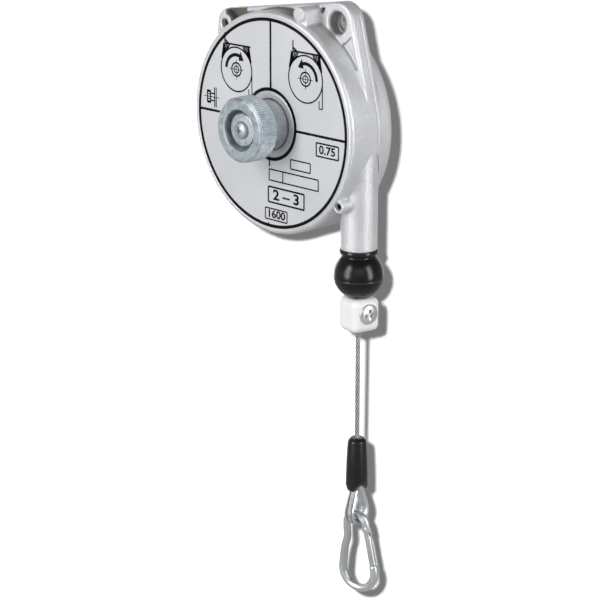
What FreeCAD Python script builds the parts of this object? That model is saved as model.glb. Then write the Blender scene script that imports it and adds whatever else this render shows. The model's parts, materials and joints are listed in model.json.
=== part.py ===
"""Spring tool balancer with an outlet tube, rubber stop ball, rope clamp and snap hook.

The casing is drawn about the drum axis: X to the right, Y to the rear, Z up, with the label
face at Y = 0.  Every finished solid is then moved so that the origin is the centre of the
suspension eye.  Millimetres throughout.
"""
import FreeCAD, Part
import math
import os

V = FreeCAD.Vector
X_AXIS, Y_AXIS, Z_AXIS = V(1, 0, 0), V(0, 1, 0), V(0, 0, 1)

# ---- driving dimensions -------------------------------------------------------------------
# casing
casing_r = 54.6             # outside radius of the front housing
wall = 3.0
joint_y = 18.3              # parting plane between the two housings
casing_depth = 29.5
front_edge_r = 1.6
rear_edge_r = 3.0
rear_step = 0.2             # the rear housing is this much smaller in radius
ear_front_y = 12.5
ear_rear_y = 21.6
lug_rear_y = 25.0
eye_angle, eye_out = 57.6446, 6.1284          # suspension eye: direction, and how far it stands off the casing
eye_boss_r, eye_bore_r = 10.0, 5.4
safety_angle, safety_out = 135.2684, 5.7876   # safety eye
safety_boss_r, safety_bore_r = 7.8, 3.5
rib_w = 2.2                 # rim rib round the ear plate
web_depth = 1.4             # recess of the ear plate beside the suspension eye
notch_left, notch_right = -42.0, -29.3

# housing screws, driven from the rear into blind bosses
screw_r, screw_core_r, screw_hole_r = 1.5, 1.25, 1.7
screw_head_r, screw_head_h = 2.75, 3.0
screw_len = 10.0
lug_r = 3.5
left_lug_angles = (158.0, 236.0)
left_lug_front_y = 9.5
top_lug_angle, top_lug_out, top_lug_front_y = 71.0383, 3.8730, 0.2

# label
label_margin, label_hole_r, label_t = 2.4, 15.9, 0.35
label_gap = 0.1

# outlet tube, set screw and guide bush
tube_y, tube_r = 15.6, 8.95
tube_drop = 2.0             # the tube ends this far below the casing
tube_bore_r = 6.05
tube_bore_depth = 34.6
tube_top_z = -9.0
set_screw_rise, set_boss_r, set_boss_front_y = 23.1, 3.15, 1.0
set_screw_r, set_screw_hex = 2.0, 2.0
bush_liner_len = 29.6
bush_collar_r, bush_neck_r = 9.5, 8.25
bush_collar_h, bush_neck_h = 2.3, 2.2

# wire rope and drum
rope_d = 2.0
stroke = 1600.0
winding_r = 45.0            # radius at which the rope lies on the drum, and where the tube stands
rope_pitch = 2.1
anchor_circle_r, anchor_angle, anchor_r = 38.0, 20.0, 1.6
flange_room = 1.2           # between the drum's flanges and the casing
drum_front_y, drum_rear_room = 4.0, 1.0   # front face of the drum, and room behind it
front_flange_t = 1.8
drum_wall = 3.0             # barrel between the rope and the spring
web_t = 2.4
cover_t = 1.6               # the spring cover is also the drum's rear flange
rivet_r, rivet_len, rivet_count = 0.9, 6.0, 3

# arbor, bushes and power spring
fit = 0.04                  # radial running clearance of every plain bearing
gap = 0.1                   # axial clearance between parts that turn on each other
front_journal_r, rear_journal_r, core_r = 7.0, 5.5, 9.0
bush_wall = 2.5
hub_r, hub_rear_y = 15.0, 6.5
core_front_y, core_setback = 10.2, 2.3   # the core ends this far in front of the drum's rear face
flat_half = 4.0             # half the width across the flats of the arbor's front end
arbor_front_r, arbor_front_y = 5.0, -17.5
arbor_end_depth = 1.1       # from the casing's rear face in to the arbor's rear end
spring_t = 0.8
spring_free_turns, spring_pack_t = 3, 9.0   # open turns, and the stack of turns against the drum
rear_boss_r, rear_boss_h = 13.0, 1.5

# adjusting knob
knob_r, knob_front_y, knob_rear_y = 15.9, -21.0, -10.2
knob_teeth = 36
knurl_depth = 0.45
knob_chamfer = 1.0
sleeve_r, knob_end_y = 12.2, 2.2
well_r, well_floor_y = 10.2, -12.0
key_gap = 0.06
ratchet_r, ratchet_pocket_y = 12.6, 3.2
ratchet_teeth, ratchet_tooth_h, ratchet_tooth_w = 12, 1.0, 2.6
end_washer_r, end_washer_t = 7.0, 1.2
knob_screw_r, knob_screw_len, knob_screw_head_r, knob_screw_head_h = 2.0, 9.0, 4.4, 2.6
return_wire_w, return_wire_t, return_coil_r, return_turns = 1.1, 0.7, 6.4, 3.0

# ball, clamp, ferrule and thimble, all on the rope
ball_r, ball_drop = 11.7, 8.4    # radius, and the centre's depth below the guide bush
seat_gap = 0.1
clamp_left, clamp_right, clamp_half_y = 6.0, 7.8, 6.3
clamp_drop, clamp_h = 10.6, 15.9
clamp_screw_r, clamp_screw_head_r, clamp_screw_head_h = 2.5, 5.0, 2.8
clamp_screw_dy, clamp_screw_depth = -0.4, 7.9
jaw_r, jaw_front, jaw_back = 3.1, 0.25, 2.6   # round jaw, and its reach from the rope's centre
nut_af, nut_t, nut_front = 8.0, 2.7, 3.6
nut_gap = 0.15
hanging_len = 58.0          # rope in sight between the clamp and the boot
boot_len = 27.6
boot_cut_angle, boot_cut_slope = 10.0, 1.72   # slanted cut of its lower end, rising to this side
boot_top_r, boot_bottom_r = 4.75, 5.35
ferrule_r, ferrule_inset, ferrule_len = 3.7, 3.0, 20.5
thimble_angle = 101.0       # direction of the thimble's plane about Z, square to the hook
thimble_drop, thimble_rope_r = 11.2, 6.4   # eye's centre below the boot, and rope centreline round it
thimble_wall, thimble_limb = 0.6, 8.5
thimble_groove = 1.75       # half the width of its channel

# snap hook
hook_angle = 11.0           # direction of the hook's plane about Z, from +X
hook_wire_r = 2.2
hook_top_r = 5.6
hook_seat_gap = 0.16        # between the hook and the middle of the thimble
hook_bottom_r, hook_bottom_x, hook_bottom_drop = 9.35, 1.7, 24.8
gate_top_s, gate_bottom_s = 3.1, 25.2   # gate pivot and gate tip, measured down the right leg
gate_r = 1.75
tongue_t, slot_gap = 1.5, 0.15
gate_pin_r = 0.8

# ---- derived dimensions ---------------------------------------------------------------------
def polar(r, degrees):
    return r * math.cos(math.radians(degrees)), r * math.sin(math.radians(degrees))


eye_x, eye_z = polar(casing_r + eye_out, eye_angle)
safety_x, safety_z = polar(casing_r + safety_out, safety_angle)
origin = V(eye_x, (ear_front_y + ear_rear_y) / 2, eye_z)
cavity_r = casing_r - wall
cavity_front_y, cavity_rear_y = wall, casing_depth - wall
drum_rear_y = cavity_rear_y - drum_rear_room
core_rear_y = drum_rear_y - core_setback
arbor_rear_y = casing_depth - arbor_end_depth
rope_r = rope_d / 2
barrel_r = winding_r - rope_r
flange_r = cavity_r - flange_room
drum_cavity_r = barrel_r - drum_wall
rivet_circle_r = barrel_r - drum_wall / 2
turns = math.ceil(stroke / (2 * math.pi * winding_r)) + 1
label_r = casing_r - label_margin
label_back_y = label_t + 0.05
tube_x = winding_r
tube_bottom_z = -(casing_r + tube_drop)
tube_bore_top_z = tube_bottom_z + tube_bore_depth
bush_top_z = tube_bottom_z + bush_liner_len
set_screw_z = tube_bottom_z + set_screw_rise
ball_z = tube_bottom_z - bush_collar_h - bush_neck_h - ball_drop
clamp_top_z = ball_z - clamp_drop
clamp_bottom_z = clamp_top_z - clamp_h
clamp_screw_y, clamp_screw_z = tube_y + clamp_screw_dy, clamp_top_z - clamp_screw_depth
boot_top_z = clamp_bottom_z - hanging_len
boot_bottom_z = boot_top_z - boot_len
ferrule_top_z = boot_top_z - ferrule_inset
ferrule_bottom_z = ferrule_top_z - ferrule_len
thimble_z = boot_bottom_z - thimble_drop
thimble_inner_r = thimble_rope_r - rope_r - 0.06 - thimble_wall * 1.2
hook_pivot_z = thimble_z - thimble_inner_r - (hook_top_r - hook_wire_r - hook_seat_gap)
flange_t = 0.6              # flanges of the plain bushes


# ---- helpers --------------------------------------------------------------------------------
def cyl_y(r, y0, y1, x=0.0, z=0.0):
    return Part.makeCylinder(r, y1 - y0, V(x, y0, z), Y_AXIS)


def cyl_z(r, z0, z1, x=tube_x, y=tube_y):
    return Part.makeCylinder(r, z1 - z0, V(x, y, z0), Z_AXIS)


def cyl_x(r, x0, x1, y, z):
    return Part.makeCylinder(r, x1 - x0, V(x0, y, z), X_AXIS)


def box(x0, x1, y0, y1, z0, z1):
    return Part.makeBox(x1 - x0, y1 - y0, z1 - z0, V(x0, y0, z0))


def revolved(points, to_vector, base, axis):
    """Closed (radius, height) profile turned a full turn about an axis."""
    wire = Part.makePolygon([to_vector(r, h) for r, h in points + points[:1]])
    return Part.Face(wire).revolve(base, axis, 360)


def turned_y(points):
    return revolved(points, lambda r, y: V(r, y, 0), V(0, 0, 0), Y_AXIS)


def turned_z(points, x=tube_x, y=tube_y):
    return revolved(points, lambda r, z: V(x + r, y, z), V(x, y, 0), Z_AXIS)


def extruded_y(points, y0, y1):
    """(x, z) polygon pulled along Y."""
    wire = Part.makePolygon([V(x, y0, z) for x, z in points + points[:1]])
    return Part.Face(wire).extrude(V(0, y1 - y0, 0))


def fuse(shapes):
    return shapes[0].multiFuse(shapes[1:]).removeSplitter()


def belt(c1, r1, c2, r2, y0, y1):
    """Hull of two circles in the XZ plane, pulled along Y: two discs and their tangents."""
    dx, dz = c2[0] - c1[0], c2[1] - c1[1]
    along = math.degrees(math.atan2(dz, dx))
    spread = math.degrees(math.acos((r1 - r2) / math.hypot(dx, dz)))
    corners = []
    for (cx, cz), r, sides in ((c1, r1, (1, -1)), (c2, r2, (-1, 1))):
        for side in sides:
            px, pz = polar(r, along + side * spread)
            corners.append((cx + px, cz + pz))
    discs = [cyl_y(r, y0, y1, *c) for c, r in ((c1, r1), (c2, r2))]
    return fuse([extruded_y(corners, y0, y1)] + discs)


def near_edges(shape, test):
    """Edges whose middle passes a test."""
    found = []
    for edge in shape.Edges:
        middle = edge.valueAt((edge.FirstParameter + edge.LastParameter) / 2)
        if test(middle, edge):
            found.append(edge)
    return found


def disc(r, y0, y1, round_front=0.0, round_rear=0.0):
    """Disc about the drum axis whose rims are rounded in two steps."""
    near, far = math.sin(math.radians(30)), math.sin(math.radians(60))
    points = [(0, y0)]
    if round_front:
        points += [(r - round_front, y0), (r - round_front * (1 - near), y0 + round_front * (1 - far)),
                   (r, y0 + round_front)]
    else:
        points += [(r, y0)]
    if round_rear:
        points += [(r, y1 - round_rear), (r - round_rear * (1 - near), y1 - round_rear * (1 - far)),
                   (r - round_rear, y1)]
    else:
        points += [(r, y1)]
    return turned_y(points + [(0, y1)])


def plate(shrink, y0, y1):
    """Ear plate: the hull of the casing and both ears, drawn in by shrink."""
    centre, eye, safety = (0, 0), (eye_x, eye_z), (safety_x, safety_z)
    big, r_eye, r_safety = casing_r - shrink, eye_boss_r - shrink, safety_boss_r - shrink
    return fuse([belt(centre, big, eye, r_eye, y0, y1), belt(eye, r_eye, safety, r_safety, y0, y1),
                 belt(centre, big, safety, r_safety, y0, y1)])


def lugs():
    """(x, z, front y) of each boss that takes a housing screw."""
    places = [(*polar(casing_r + top_lug_out, top_lug_angle), top_lug_front_y)]
    for angle in left_lug_angles:
        x, z = polar(casing_r, angle)
        places.append((x, z, left_lug_front_y))
    return places


def save(name, shape):
    shape = shape.copy()
    shape.translate(-origin)
    shape.exportStep("parts/%s.step" % name)
    solids = shape.Solids
    state = "" if shape.isValid() and solids else "  NOT VALID"
    print("%-20s %d solid(s) %10.1f mm3%s" % (name, len(solids), shape.Volume, state))


# ---- housings -------------------------------------------------------------------------------
def cavity():
    return cyl_y(cavity_r, cavity_front_y, cavity_rear_y)


def tube_outside(growth, top_z):
    return cyl_z(tube_r + growth, tube_bottom_z, top_z)


def eye_bores(y0, y1):
    return [cyl_y(eye_bore_r, y0, y1, eye_x, eye_z),
            cyl_y(safety_bore_r, y0, y1, safety_x, safety_z)]


def ear_plate_front():
    """Front half of both ears, open under the top rib and with a shallow recess beside it."""
    ears = plate(0, ear_front_y, joint_y)
    bosses = [cyl_y(eye_boss_r, ear_front_y, joint_y, eye_x, eye_z),
              cyl_y(safety_boss_r, ear_front_y, joint_y, safety_x, safety_z)]
    kept = fuse(bosses + [cyl_y(casing_r, ear_front_y, joint_y)])
    inner = plate(rib_w, ear_front_y, joint_y)
    right_of_eye = box(eye_x, casing_r * 2, ear_front_y, ear_front_y + web_depth, 0, casing_r * 2)
    left_of_eye = box(-casing_r * 2, eye_x, ear_front_y, joint_y, 0, casing_r * 2)
    for side in (right_of_eye, left_of_eye):
        ears = ears.cut(inner.common(side).cut(kept))
    notch = box(notch_left, notch_right, ear_front_y, joint_y, 0, casing_r * 2).cut(kept)
    return ears.cut(notch)


def front_housing():
    shell = disc(casing_r, 0, joint_y, round_front=front_edge_r)
    tube = tube_outside(0, tube_top_z)
    tube_front = cyl_z(tube_r, tube_top_z, 0).common(box(0, casing_r * 2, 0, joint_y, -casing_r, casing_r))
    tube = chamfered_tube_end(tube)
    set_boss = cyl_y(set_boss_r, set_boss_front_y, tube_y, tube_x, set_screw_z)
    bosses = [cyl_y(lug_r, y, joint_y, x, z) for x, z, y in lugs()]
    lug_x, lug_z, _ = lugs()[0]
    top_web = box(lug_x - lug_r, lug_x + lug_r, front_edge_r, joint_y, lug_z - 2 * lug_r, lug_z)
    body = fuse([shell, ear_plate_front(), tube, tube_front, set_boss, top_web] + bosses)
    body = body.cut(cavity())
    body = fuse([body, cyl_y(hub_r, cavity_front_y - wall / 2, hub_rear_y)])
    cuts = [cyl_y(ratchet_r, 0, ratchet_pocket_y),
            cyl_y(front_journal_r + bush_wall, 0, hub_rear_y),
            turned_y([(label_hole_r - label_gap, 0), (label_r + label_gap, 0),
                      (label_r + label_gap, label_back_y), (label_hole_r - label_gap, label_back_y)]),
            cyl_z(tube_bore_r, tube_bottom_z, tube_bore_top_z),
            rope_mouth(),
            cyl_y(set_screw_r, set_boss_front_y, tube_y, tube_x, set_screw_z)]
    cuts += eye_bores(ear_front_y, joint_y)
    cuts += [cyl_y(screw_core_r, joint_y - screw_len, joint_y, x, z)
             if joint_y - y > screw_len + 1 else cyl_y(screw_core_r, y + 1, joint_y, x, z)
             for x, z, y in lugs()]
    for cutter in cuts:
        body = body.cut(cutter)
    return body


def chamfered_tube_end(tube):
    return tube.makeChamfer(0.5, near_edges(tube, lambda m, e: abs(m.z - tube_bottom_z) < 0.01))


def rope_mouth():
    """Slot at the top of the tube, as long as the winding is wide, so that the rope can wander."""
    half_y = (turns - 1) * rope_pitch / 2 + rope_r * 0.5
    half_x = rope_d * 1.4
    return box(tube_x - half_x, tube_x + half_x, tube_y - half_y, tube_y + half_y,
               tube_bore_top_z - 1, 0)


def rear_housing():
    outer_r = casing_r - rear_step
    shell = disc(outer_r, joint_y, casing_depth, round_rear=rear_edge_r)
    boss = disc(rear_boss_r, casing_depth - 1, casing_depth + rear_boss_h, round_rear=0.8)
    bosses = [cyl_y(lug_r, joint_y, lug_rear_y, x, z) for x, z, _ in lugs()]
    body = fuse([shell, boss, plate(0.1, joint_y, ear_rear_y)] + bosses)
    body = body.cut(cavity())
    seat_y = lug_rear_y - screw_head_h
    cuts = [cyl_y(rear_journal_r + bush_wall, cavity_rear_y, arbor_rear_y + 0.6),
            tube_outside(0.15, tube_top_z + 0.15),
            cyl_z(tube_r + 0.15, tube_bottom_z - 10, tube_bottom_z)]
    cuts += eye_bores(joint_y, ear_rear_y)
    for x, z, _ in lugs():
        cuts += [cyl_y(screw_hole_r, joint_y, lug_rear_y, x, z),
                 cyl_y(screw_head_r + 0.2, seat_y, lug_rear_y, x, z)]
    for cutter in cuts:
        body = body.cut(cutter)
    return body


def socket_screw(shank_r, length, head_r, head_h, hex_af):
    """Cap screw along +Y: the head's seat at Y = 0, the head behind it, the shank in front."""
    shank = cyl_y(shank_r, -length, 0)
    head = cyl_y(head_r, 0, head_h)
    hexagon = [polar(hex_af / math.sqrt(3), 60 * k) for k in range(6)]
    socket = extruded_y(hexagon, head_h * 0.45, head_h)
    return shank.fuse(head).removeSplitter().cut(socket)


def housing_screws():
    screws = []
    for x, z, y in lugs():
        length = lug_rear_y - screw_head_h - max(y + 1, joint_y - screw_len) - 0.5
        screw = socket_screw(screw_core_r, length, screw_head_r, screw_head_h, 2.5)
        screw.translate(V(x, lug_rear_y - screw_head_h, z))
        screws.append(screw)
    return Part.makeCompound(screws)


def label_plate():
    return turned_y([(label_hole_r, label_back_y - label_t), (label_r, label_back_y - label_t),
                     (label_r, label_back_y), (label_hole_r, label_back_y)])


def guide_bush():
    """Liner of the outlet tube, with a funnel mouth, a collar and a dished seat for the ball."""
    collar_z = tube_bottom_z - bush_collar_h
    neck_z = collar_z - bush_neck_h
    liner_r = tube_bore_r - 0.05
    bush = turned_z([(rope_r + 0.5, bush_top_z - 5), (liner_r - 1, bush_top_z), (liner_r, bush_top_z),
                     (liner_r, tube_bottom_z), (bush_collar_r, tube_bottom_z),
                     (bush_collar_r, collar_z), (bush_neck_r, neck_z), (rope_r + 0.5, neck_z)])
    seat = Part.makeSphere(ball_r + seat_gap, V(tube_x, tube_y, ball_z))
    grip = cyl_y(set_screw_r + 0.05, tube_y - tube_bore_r - 1, set_screw_tip_y(), tube_x, set_screw_z)
    return bush.cut(seat).cut(grip)


def set_screw_tip_y():
    return tube_y - tube_bore_r + 0.9


def guide_set_screw():
    tip_y = set_screw_tip_y()
    screw = cyl_y(set_screw_r - 0.02, set_boss_front_y + 0.8, tip_y - 0.02, tube_x, set_screw_z)
    hexagon = [(tube_x + a, set_screw_z + b) for a, b in
               (polar(set_screw_hex / math.sqrt(3) * 1.2, 60 * k) for k in range(6))]
    return screw.cut(extruded_y(hexagon, set_boss_front_y, set_boss_front_y + 2.8))


# ---- bearings, arbor and springs --------------------------------------------------------------
def plain_bush(bore_r, y0, y1, flange_y0, flange_y1):
    """Bush of the common wall thickness with a flange at one end."""
    outer = bore_r + bush_wall - fit
    body = cyl_y(outer, min(y0, flange_y0), max(y1, flange_y1))
    body = body.common(fuse([cyl_y(outer, y0, y1), cyl_y(outer, flange_y0, flange_y1)]))
    flange = cyl_y(outer + 1.5, flange_y0, flange_y1)
    return fuse([body, flange]).cut(cyl_y(bore_r, y0 - 5, y1 + 5))


def front_bush():
    return plain_bush(front_journal_r + fit, ratchet_pocket_y + gap, hub_rear_y,
                      hub_rear_y, hub_rear_y + flange_t)


def drum_front_bush():
    web_front = hub_rear_y + flange_t + gap
    outer, bore = front_journal_r + bush_wall - fit, front_journal_r + fit
    return cyl_y(outer, web_front, core_front_y - gap).cut(cyl_y(bore, web_front, core_front_y))


def drum_rear_bush():
    outer, bore = rear_journal_r + bush_wall - fit, rear_journal_r + fit
    return cyl_y(outer, core_rear_y + gap, drum_rear_y).cut(cyl_y(bore, core_rear_y, drum_rear_y))


def rear_bush():
    return plain_bush(rear_journal_r + fit, cavity_rear_y, arbor_rear_y + 0.6,
                      drum_rear_y + gap, cavity_rear_y)


def arbor():
    body = turned_y([(0, arbor_front_y), (arbor_front_r, arbor_front_y),
                     (arbor_front_r, ratchet_pocket_y + gap), (front_journal_r, ratchet_pocket_y + gap),
                     (front_journal_r, core_front_y), (core_r, core_front_y), (core_r, core_rear_y),
                     (rear_journal_r, core_rear_y), (rear_journal_r, arbor_rear_y), (0, arbor_rear_y)])
    reach = arbor_front_r + 1
    for side in (-1, 1):
        edge = sorted((side * flat_half, side * reach))
        body = body.cut(box(edge[0], edge[1], arbor_front_y, ratchet_pocket_y + gap, -reach, reach))
    slot = box(core_r * 0.35, core_r + 1, core_front_y, core_rear_y, -spring_t * 0.7, spring_t * 0.7)
    thread = cyl_y(knob_screw_r, arbor_front_y, arbor_front_y + knob_screw_len + 1)
    return body.cut(slot).cut(thread)


def spiral(start_r, pitch, turns_free):
    """Open curve of half circles that winds out from start_r by one pitch a turn."""
    edges = []
    side, x = 1, start_r
    for k in range(2 * turns_free):
        r = start_r + k * pitch / 2 + pitch / 4
        centre = x - side * r
        edges.append(Part.Arc(V(x, 0, 0), V(centre, 0, side * r), V(centre - side * r, 0, 0)).toShape())
        x, side = centre - side * r, -side
    return edges, V(start_r, 0, 0), V(x, 0, 0)


def power_spring():
    """Flat spiral spring: open turns from the arbor's slot out to the stack of wound turns."""
    inner_r = core_r + 0.3
    pack_r = drum_cavity_r - 0.4
    pack_inner_r = pack_r - spring_pack_t
    pitch = (pack_inner_r + spring_t / 2 - inner_r) / spring_free_turns
    inside, a0, a1 = spiral(inner_r, pitch, spring_free_turns)
    outside, b0, b1 = spiral(inner_r + spring_t, pitch, spring_free_turns)
    ends = [Part.makeLine(a0, b0), Part.makeLine(a1, b1)]
    face = Part.Face(Part.Wire(Part.__sortEdges__(inside + outside + ends)))
    y0, y1 = core_front_y + 0.4, core_rear_y - 0.4
    face.translate(V(0, y0, 0))
    strip = face.extrude(V(0, y1 - y0, 0))
    stack = cyl_y(pack_r, y0, y1).cut(cyl_y(pack_inner_r, y0, y1))
    tab = box(core_r * 0.45, inner_r + spring_t / 2, y0, y1, -spring_t / 2, spring_t / 2)
    return fuse([strip, stack, tab])


# ---- drum ---------------------------------------------------------------------------------------
def drum():
    """Rope drum: front flange, barrel and web in one, open at the rear for the power spring."""
    hub_front = hub_rear_y + flange_t + gap
    hub_hole = front_journal_r + bush_wall
    dish = hub_r + 2
    floor = drum_front_y + web_t
    cover_y = drum_rear_y - cover_t
    body = turned_y([(hub_hole, hub_front), (dish, hub_front), (dish + 1.5, drum_front_y),
                     (flange_r, drum_front_y), (flange_r, drum_front_y + front_flange_t),
                     (barrel_r, drum_front_y + front_flange_t), (barrel_r, cover_y),
                     (drum_cavity_r, cover_y), (drum_cavity_r, floor), (dish + 3.5, floor),
                     (dish + 2, hub_front + web_t), (hub_hole, hub_front + web_t)])
    for x, z in rivet_places():
        body = body.cut(cyl_y(rivet_r, cover_y - rivet_len, cover_y, x, z))
    ax, az = polar(anchor_circle_r, anchor_angle)
    return body.cut(cyl_y(anchor_r + 0.05, drum_front_y, drum_front_y + web_t, ax, az))


def rivet_places():
    return [polar(rivet_circle_r, 30 + 360 / rivet_count * k) for k in range(rivet_count)]


def spring_cover():
    """Rear flange of the drum, with the hub of its rear bush."""
    cover_y = drum_rear_y - cover_t
    hub_hole = rear_journal_r + bush_wall
    hub_front = core_rear_y + gap
    body = turned_y([(hub_hole, hub_front), (hub_hole + 4, hub_front), (hub_hole + 4, cover_y),
                     (flange_r, cover_y), (flange_r, drum_rear_y), (hub_hole, drum_rear_y)])
    for x, z in rivet_places():
        body = body.cut(cyl_y(rivet_r, cover_y, drum_rear_y, x, z))
    return body


def cover_rivets():
    """Rivets that hold the cover to the drum's barrel, finished flush."""
    y0, y1 = drum_rear_y - cover_t - rivet_len + 0.5, drum_rear_y
    return Part.makeCompound([cyl_y(rivet_r - 0.02, y0, y1, x, z) for x, z in rivet_places()])


def rope_winding():
    """Rope on the drum: one closed band of the outer shape of all its turns."""
    half = turns * rope_pitch / 2
    inner = barrel_r + 0.02
    return cyl_y(winding_r + rope_r, tube_y - half, tube_y + half).cut(
        cyl_y(inner, tube_y - half, tube_y + half))


def rope_anchor():
    """Crimp on the rope's inner end, seated in a hole in the drum's web."""
    ax, az = polar(anchor_circle_r, anchor_angle)
    return cyl_y(anchor_r, drum_front_y, drum_front_y + web_t, ax, az)


# ---- adjusting knob --------------------------------------------------------------------------------
def arbor_section(growth, y0, y1):
    """Double-D section of the arbor's front end."""
    round_bar = cyl_y(arbor_front_r + growth, y0, y1)
    half = flat_half + growth
    return round_bar.common(box(-half, half, y0, y1, -knob_r, knob_r))


def knob():
    body = turned_y([(0, knob_front_y), (knob_r - knob_chamfer, knob_front_y),
                     (knob_r, knob_front_y + knob_chamfer), (knob_r, knob_rear_y - 0.6),
                     (knob_r - 0.6, knob_rear_y), (sleeve_r, knob_rear_y),
                     (sleeve_r, knob_end_y), (0, knob_end_y)])
    body = body.cut(cyl_y(well_r, knob_front_y, well_floor_y))
    body = body.cut(arbor_section(key_gap, well_floor_y, knob_end_y))
    body = body.cut(cyl_y(front_journal_r + 1.0, knob_end_y - ratchet_tooth_h, knob_end_y))
    grooves = [knurl_groove(360 * k / knob_teeth) for k in range(knob_teeth)]
    body = body.cut(Part.makeCompound(grooves))
    notches = [ratchet_notch(360 * k / ratchet_teeth) for k in range(ratchet_teeth)]
    return body.cut(Part.makeCompound(notches))


def knurl_groove(angle):
    """V groove along the knob's rim."""
    half = math.pi * knob_r / knob_teeth * 0.8
    y0, y1 = knob_front_y + knob_chamfer, knob_rear_y - 0.6
    points = [(knob_r + 0.3, -half), (knob_r - knurl_depth, 0), (knob_r + 0.3, half)]
    groove = extruded_y(points, y0, y1)
    groove.rotate(V(0, 0, 0), Y_AXIS, angle)
    return groove


def ratchet_notch(angle):
    """Saw-tooth notch in the knob's rear face: a ramp on one side, upright on the other."""
    w, h = ratchet_tooth_w, ratchet_tooth_h
    ramp = Part.makePolygon([V(front_journal_r, knob_end_y - h, w / 2), V(front_journal_r, knob_end_y + 0.1, w / 2),
                             V(front_journal_r, knob_end_y + 0.1, -w / 2), V(front_journal_r, knob_end_y - h, w / 2)])
    notch = Part.Face(ramp).extrude(V(sleeve_r - front_journal_r + 1, 0, 0))
    notch.rotate(V(0, 0, 0), Y_AXIS, angle)
    return notch


def ratchet_spring():
    """Spring washer on the pocket's floor, with three tongues that stand in the knob's notches."""
    y1 = ratchet_pocket_y
    inner_r = front_journal_r + 0.6
    washer = turned_y([(inner_r, y1 - 0.4), (ratchet_r - 0.02, y1 - 0.4), (ratchet_r - 0.02, y1), (inner_r, y1)])
    pieces = [washer]
    for k in range(3):
        w, h = ratchet_tooth_w * 0.7, ratchet_tooth_h * 0.7
        top = knob_end_y - h + 0.05
        side = Part.makePolygon([V(inner_r + 1, top, w / 2), V(inner_r + 1, y1 - 0.3, w / 2),
                                 V(inner_r + 1, y1 - 0.3, -w / 2), V(inner_r + 1, top, w / 2)])
        tongue = Part.Face(side).extrude(V(sleeve_r - inner_r - 1.4, 0, 0))
        tongue.translate(V(0, 0, 0.15))
        tongue.rotate(V(0, 0, 0), Y_AXIS, 120 * k)
        pieces.append(tongue)
    return fuse(pieces)


def end_washer():
    return turned_y([(knob_screw_r + 0.15, arbor_front_y - end_washer_t), (end_washer_r, arbor_front_y - end_washer_t),
                     (end_washer_r, arbor_front_y), (knob_screw_r + 0.15, arbor_front_y)])


def pan_head(head_r, head_h, steps=3):
    """(radius, height) points of a domed head standing on height 0."""
    dome = [(head_r * math.cos(math.radians(a)), head_h * (0.35 + 0.65 * math.sin(math.radians(a))))
            for a in (90.0 * k / steps for k in range(steps + 1))]
    return [(0, 0), (head_r, 0)] + dome[:-1] + [(0, head_h)]


def cross_recess(size, depth):
    """Cross recess cut down from height 0 along -Z, for a head that faces +Z."""
    arm = box(-size, size, -size * 0.22, size * 0.22, -depth, 1)
    other = box(-size * 0.22, size * 0.22, -size, size, -depth, 1)
    return arm.fuse(other)


def pan_screw(shank_r, length, head_r, head_h):
    """Pan-head screw along Z: seat at Z = 0, head above, shank below."""
    points = pan_head(head_r, head_h)
    head = revolved(points, lambda r, z: V(r, 0, z), V(0, 0, 0), Z_AXIS)
    screw = head.fuse(cyl_z(shank_r, -length, 0, 0, 0)).removeSplitter()
    recess = cross_recess(head_r * 0.52, head_h * 0.6)
    recess.translate(V(0, 0, head_h))
    return screw.cut(recess)


def knob_screw():
    screw = pan_screw(knob_screw_r - 0.02, knob_screw_len, knob_screw_head_r, knob_screw_head_h)
    screw.rotate(V(0, 0, 0), X_AXIS, 90)
    screw.translate(V(0, arbor_front_y - end_washer_t, 0))
    return screw


def return_spring():
    """Flat-wire coil between the end washer and the floor of the knob's well, with ground ends."""
    y0, y1 = arbor_front_y + 0.05, well_floor_y - 0.05
    pitch = (y1 - y0) / return_turns
    w, t = return_wire_w / 2, return_wire_t / 2
    corners = [V(return_coil_r + a, 0, b) for a, b in ((-w, -t), (w, -t), (w, t), (-w, t), (-w, -t))]
    helix = Part.Wire(Part.makeHelix(pitch, y1 - y0 - return_wire_t, return_coil_r))
    coil = helix.makePipeShell([Part.makePolygon(corners)], True, True)
    coil.rotate(V(0, 0, 0), X_AXIS, -90)
    coil.translate(V(0, y0 + t, 0))
    return coil


# ---- rope, ball and clamp ---------------------------------------------------------------------------
def rope_run():
    """Straight rope from the drum's edge down to the underside of the clamp."""
    clear = winding_r + rope_r + 0.1
    top_z = -math.sqrt(clear ** 2 - (tube_x - rope_r) ** 2)
    return cyl_z(rope_r, clamp_bottom_z, top_z)


def hanging_rope():
    return cyl_z(rope_r, ferrule_top_z, clamp_bottom_z)


def ball_bumper():
    ball = Part.makeSphere(ball_r, V(tube_x, tube_y, ball_z))
    return ball.cut(cyl_z(rope_r + 0.3, ball_z - ball_r - 1, ball_z + ball_r + 1))


def clamp_block():
    """Rounded block, flat on the screw's side and well rounded on the other."""
    left, right = tube_x - clamp_left, tube_x + clamp_right
    front, rear = tube_y - clamp_half_y, tube_y + clamp_half_y
    block = box(left, right, front, rear, clamp_bottom_z, clamp_top_z)
    upright = lambda m, e: abs(m.z - (clamp_top_z + clamp_bottom_z) / 2) < 0.1
    block = block.makeFillet(4.2, near_edges(block, lambda m, e: upright(m, e) and m.x < left + 1))
    block = block.makeFillet(1.2, near_edges(block, lambda m, e: upright(m, e) and m.x > right - 0.1
                                             and m.x < right + 0.1))
    rims = lambda m, e: abs(m.z - clamp_top_z) < 0.01 or abs(m.z - clamp_bottom_z) < 0.01
    return block.makeChamfer(0.9, near_edges(block, rims))


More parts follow.
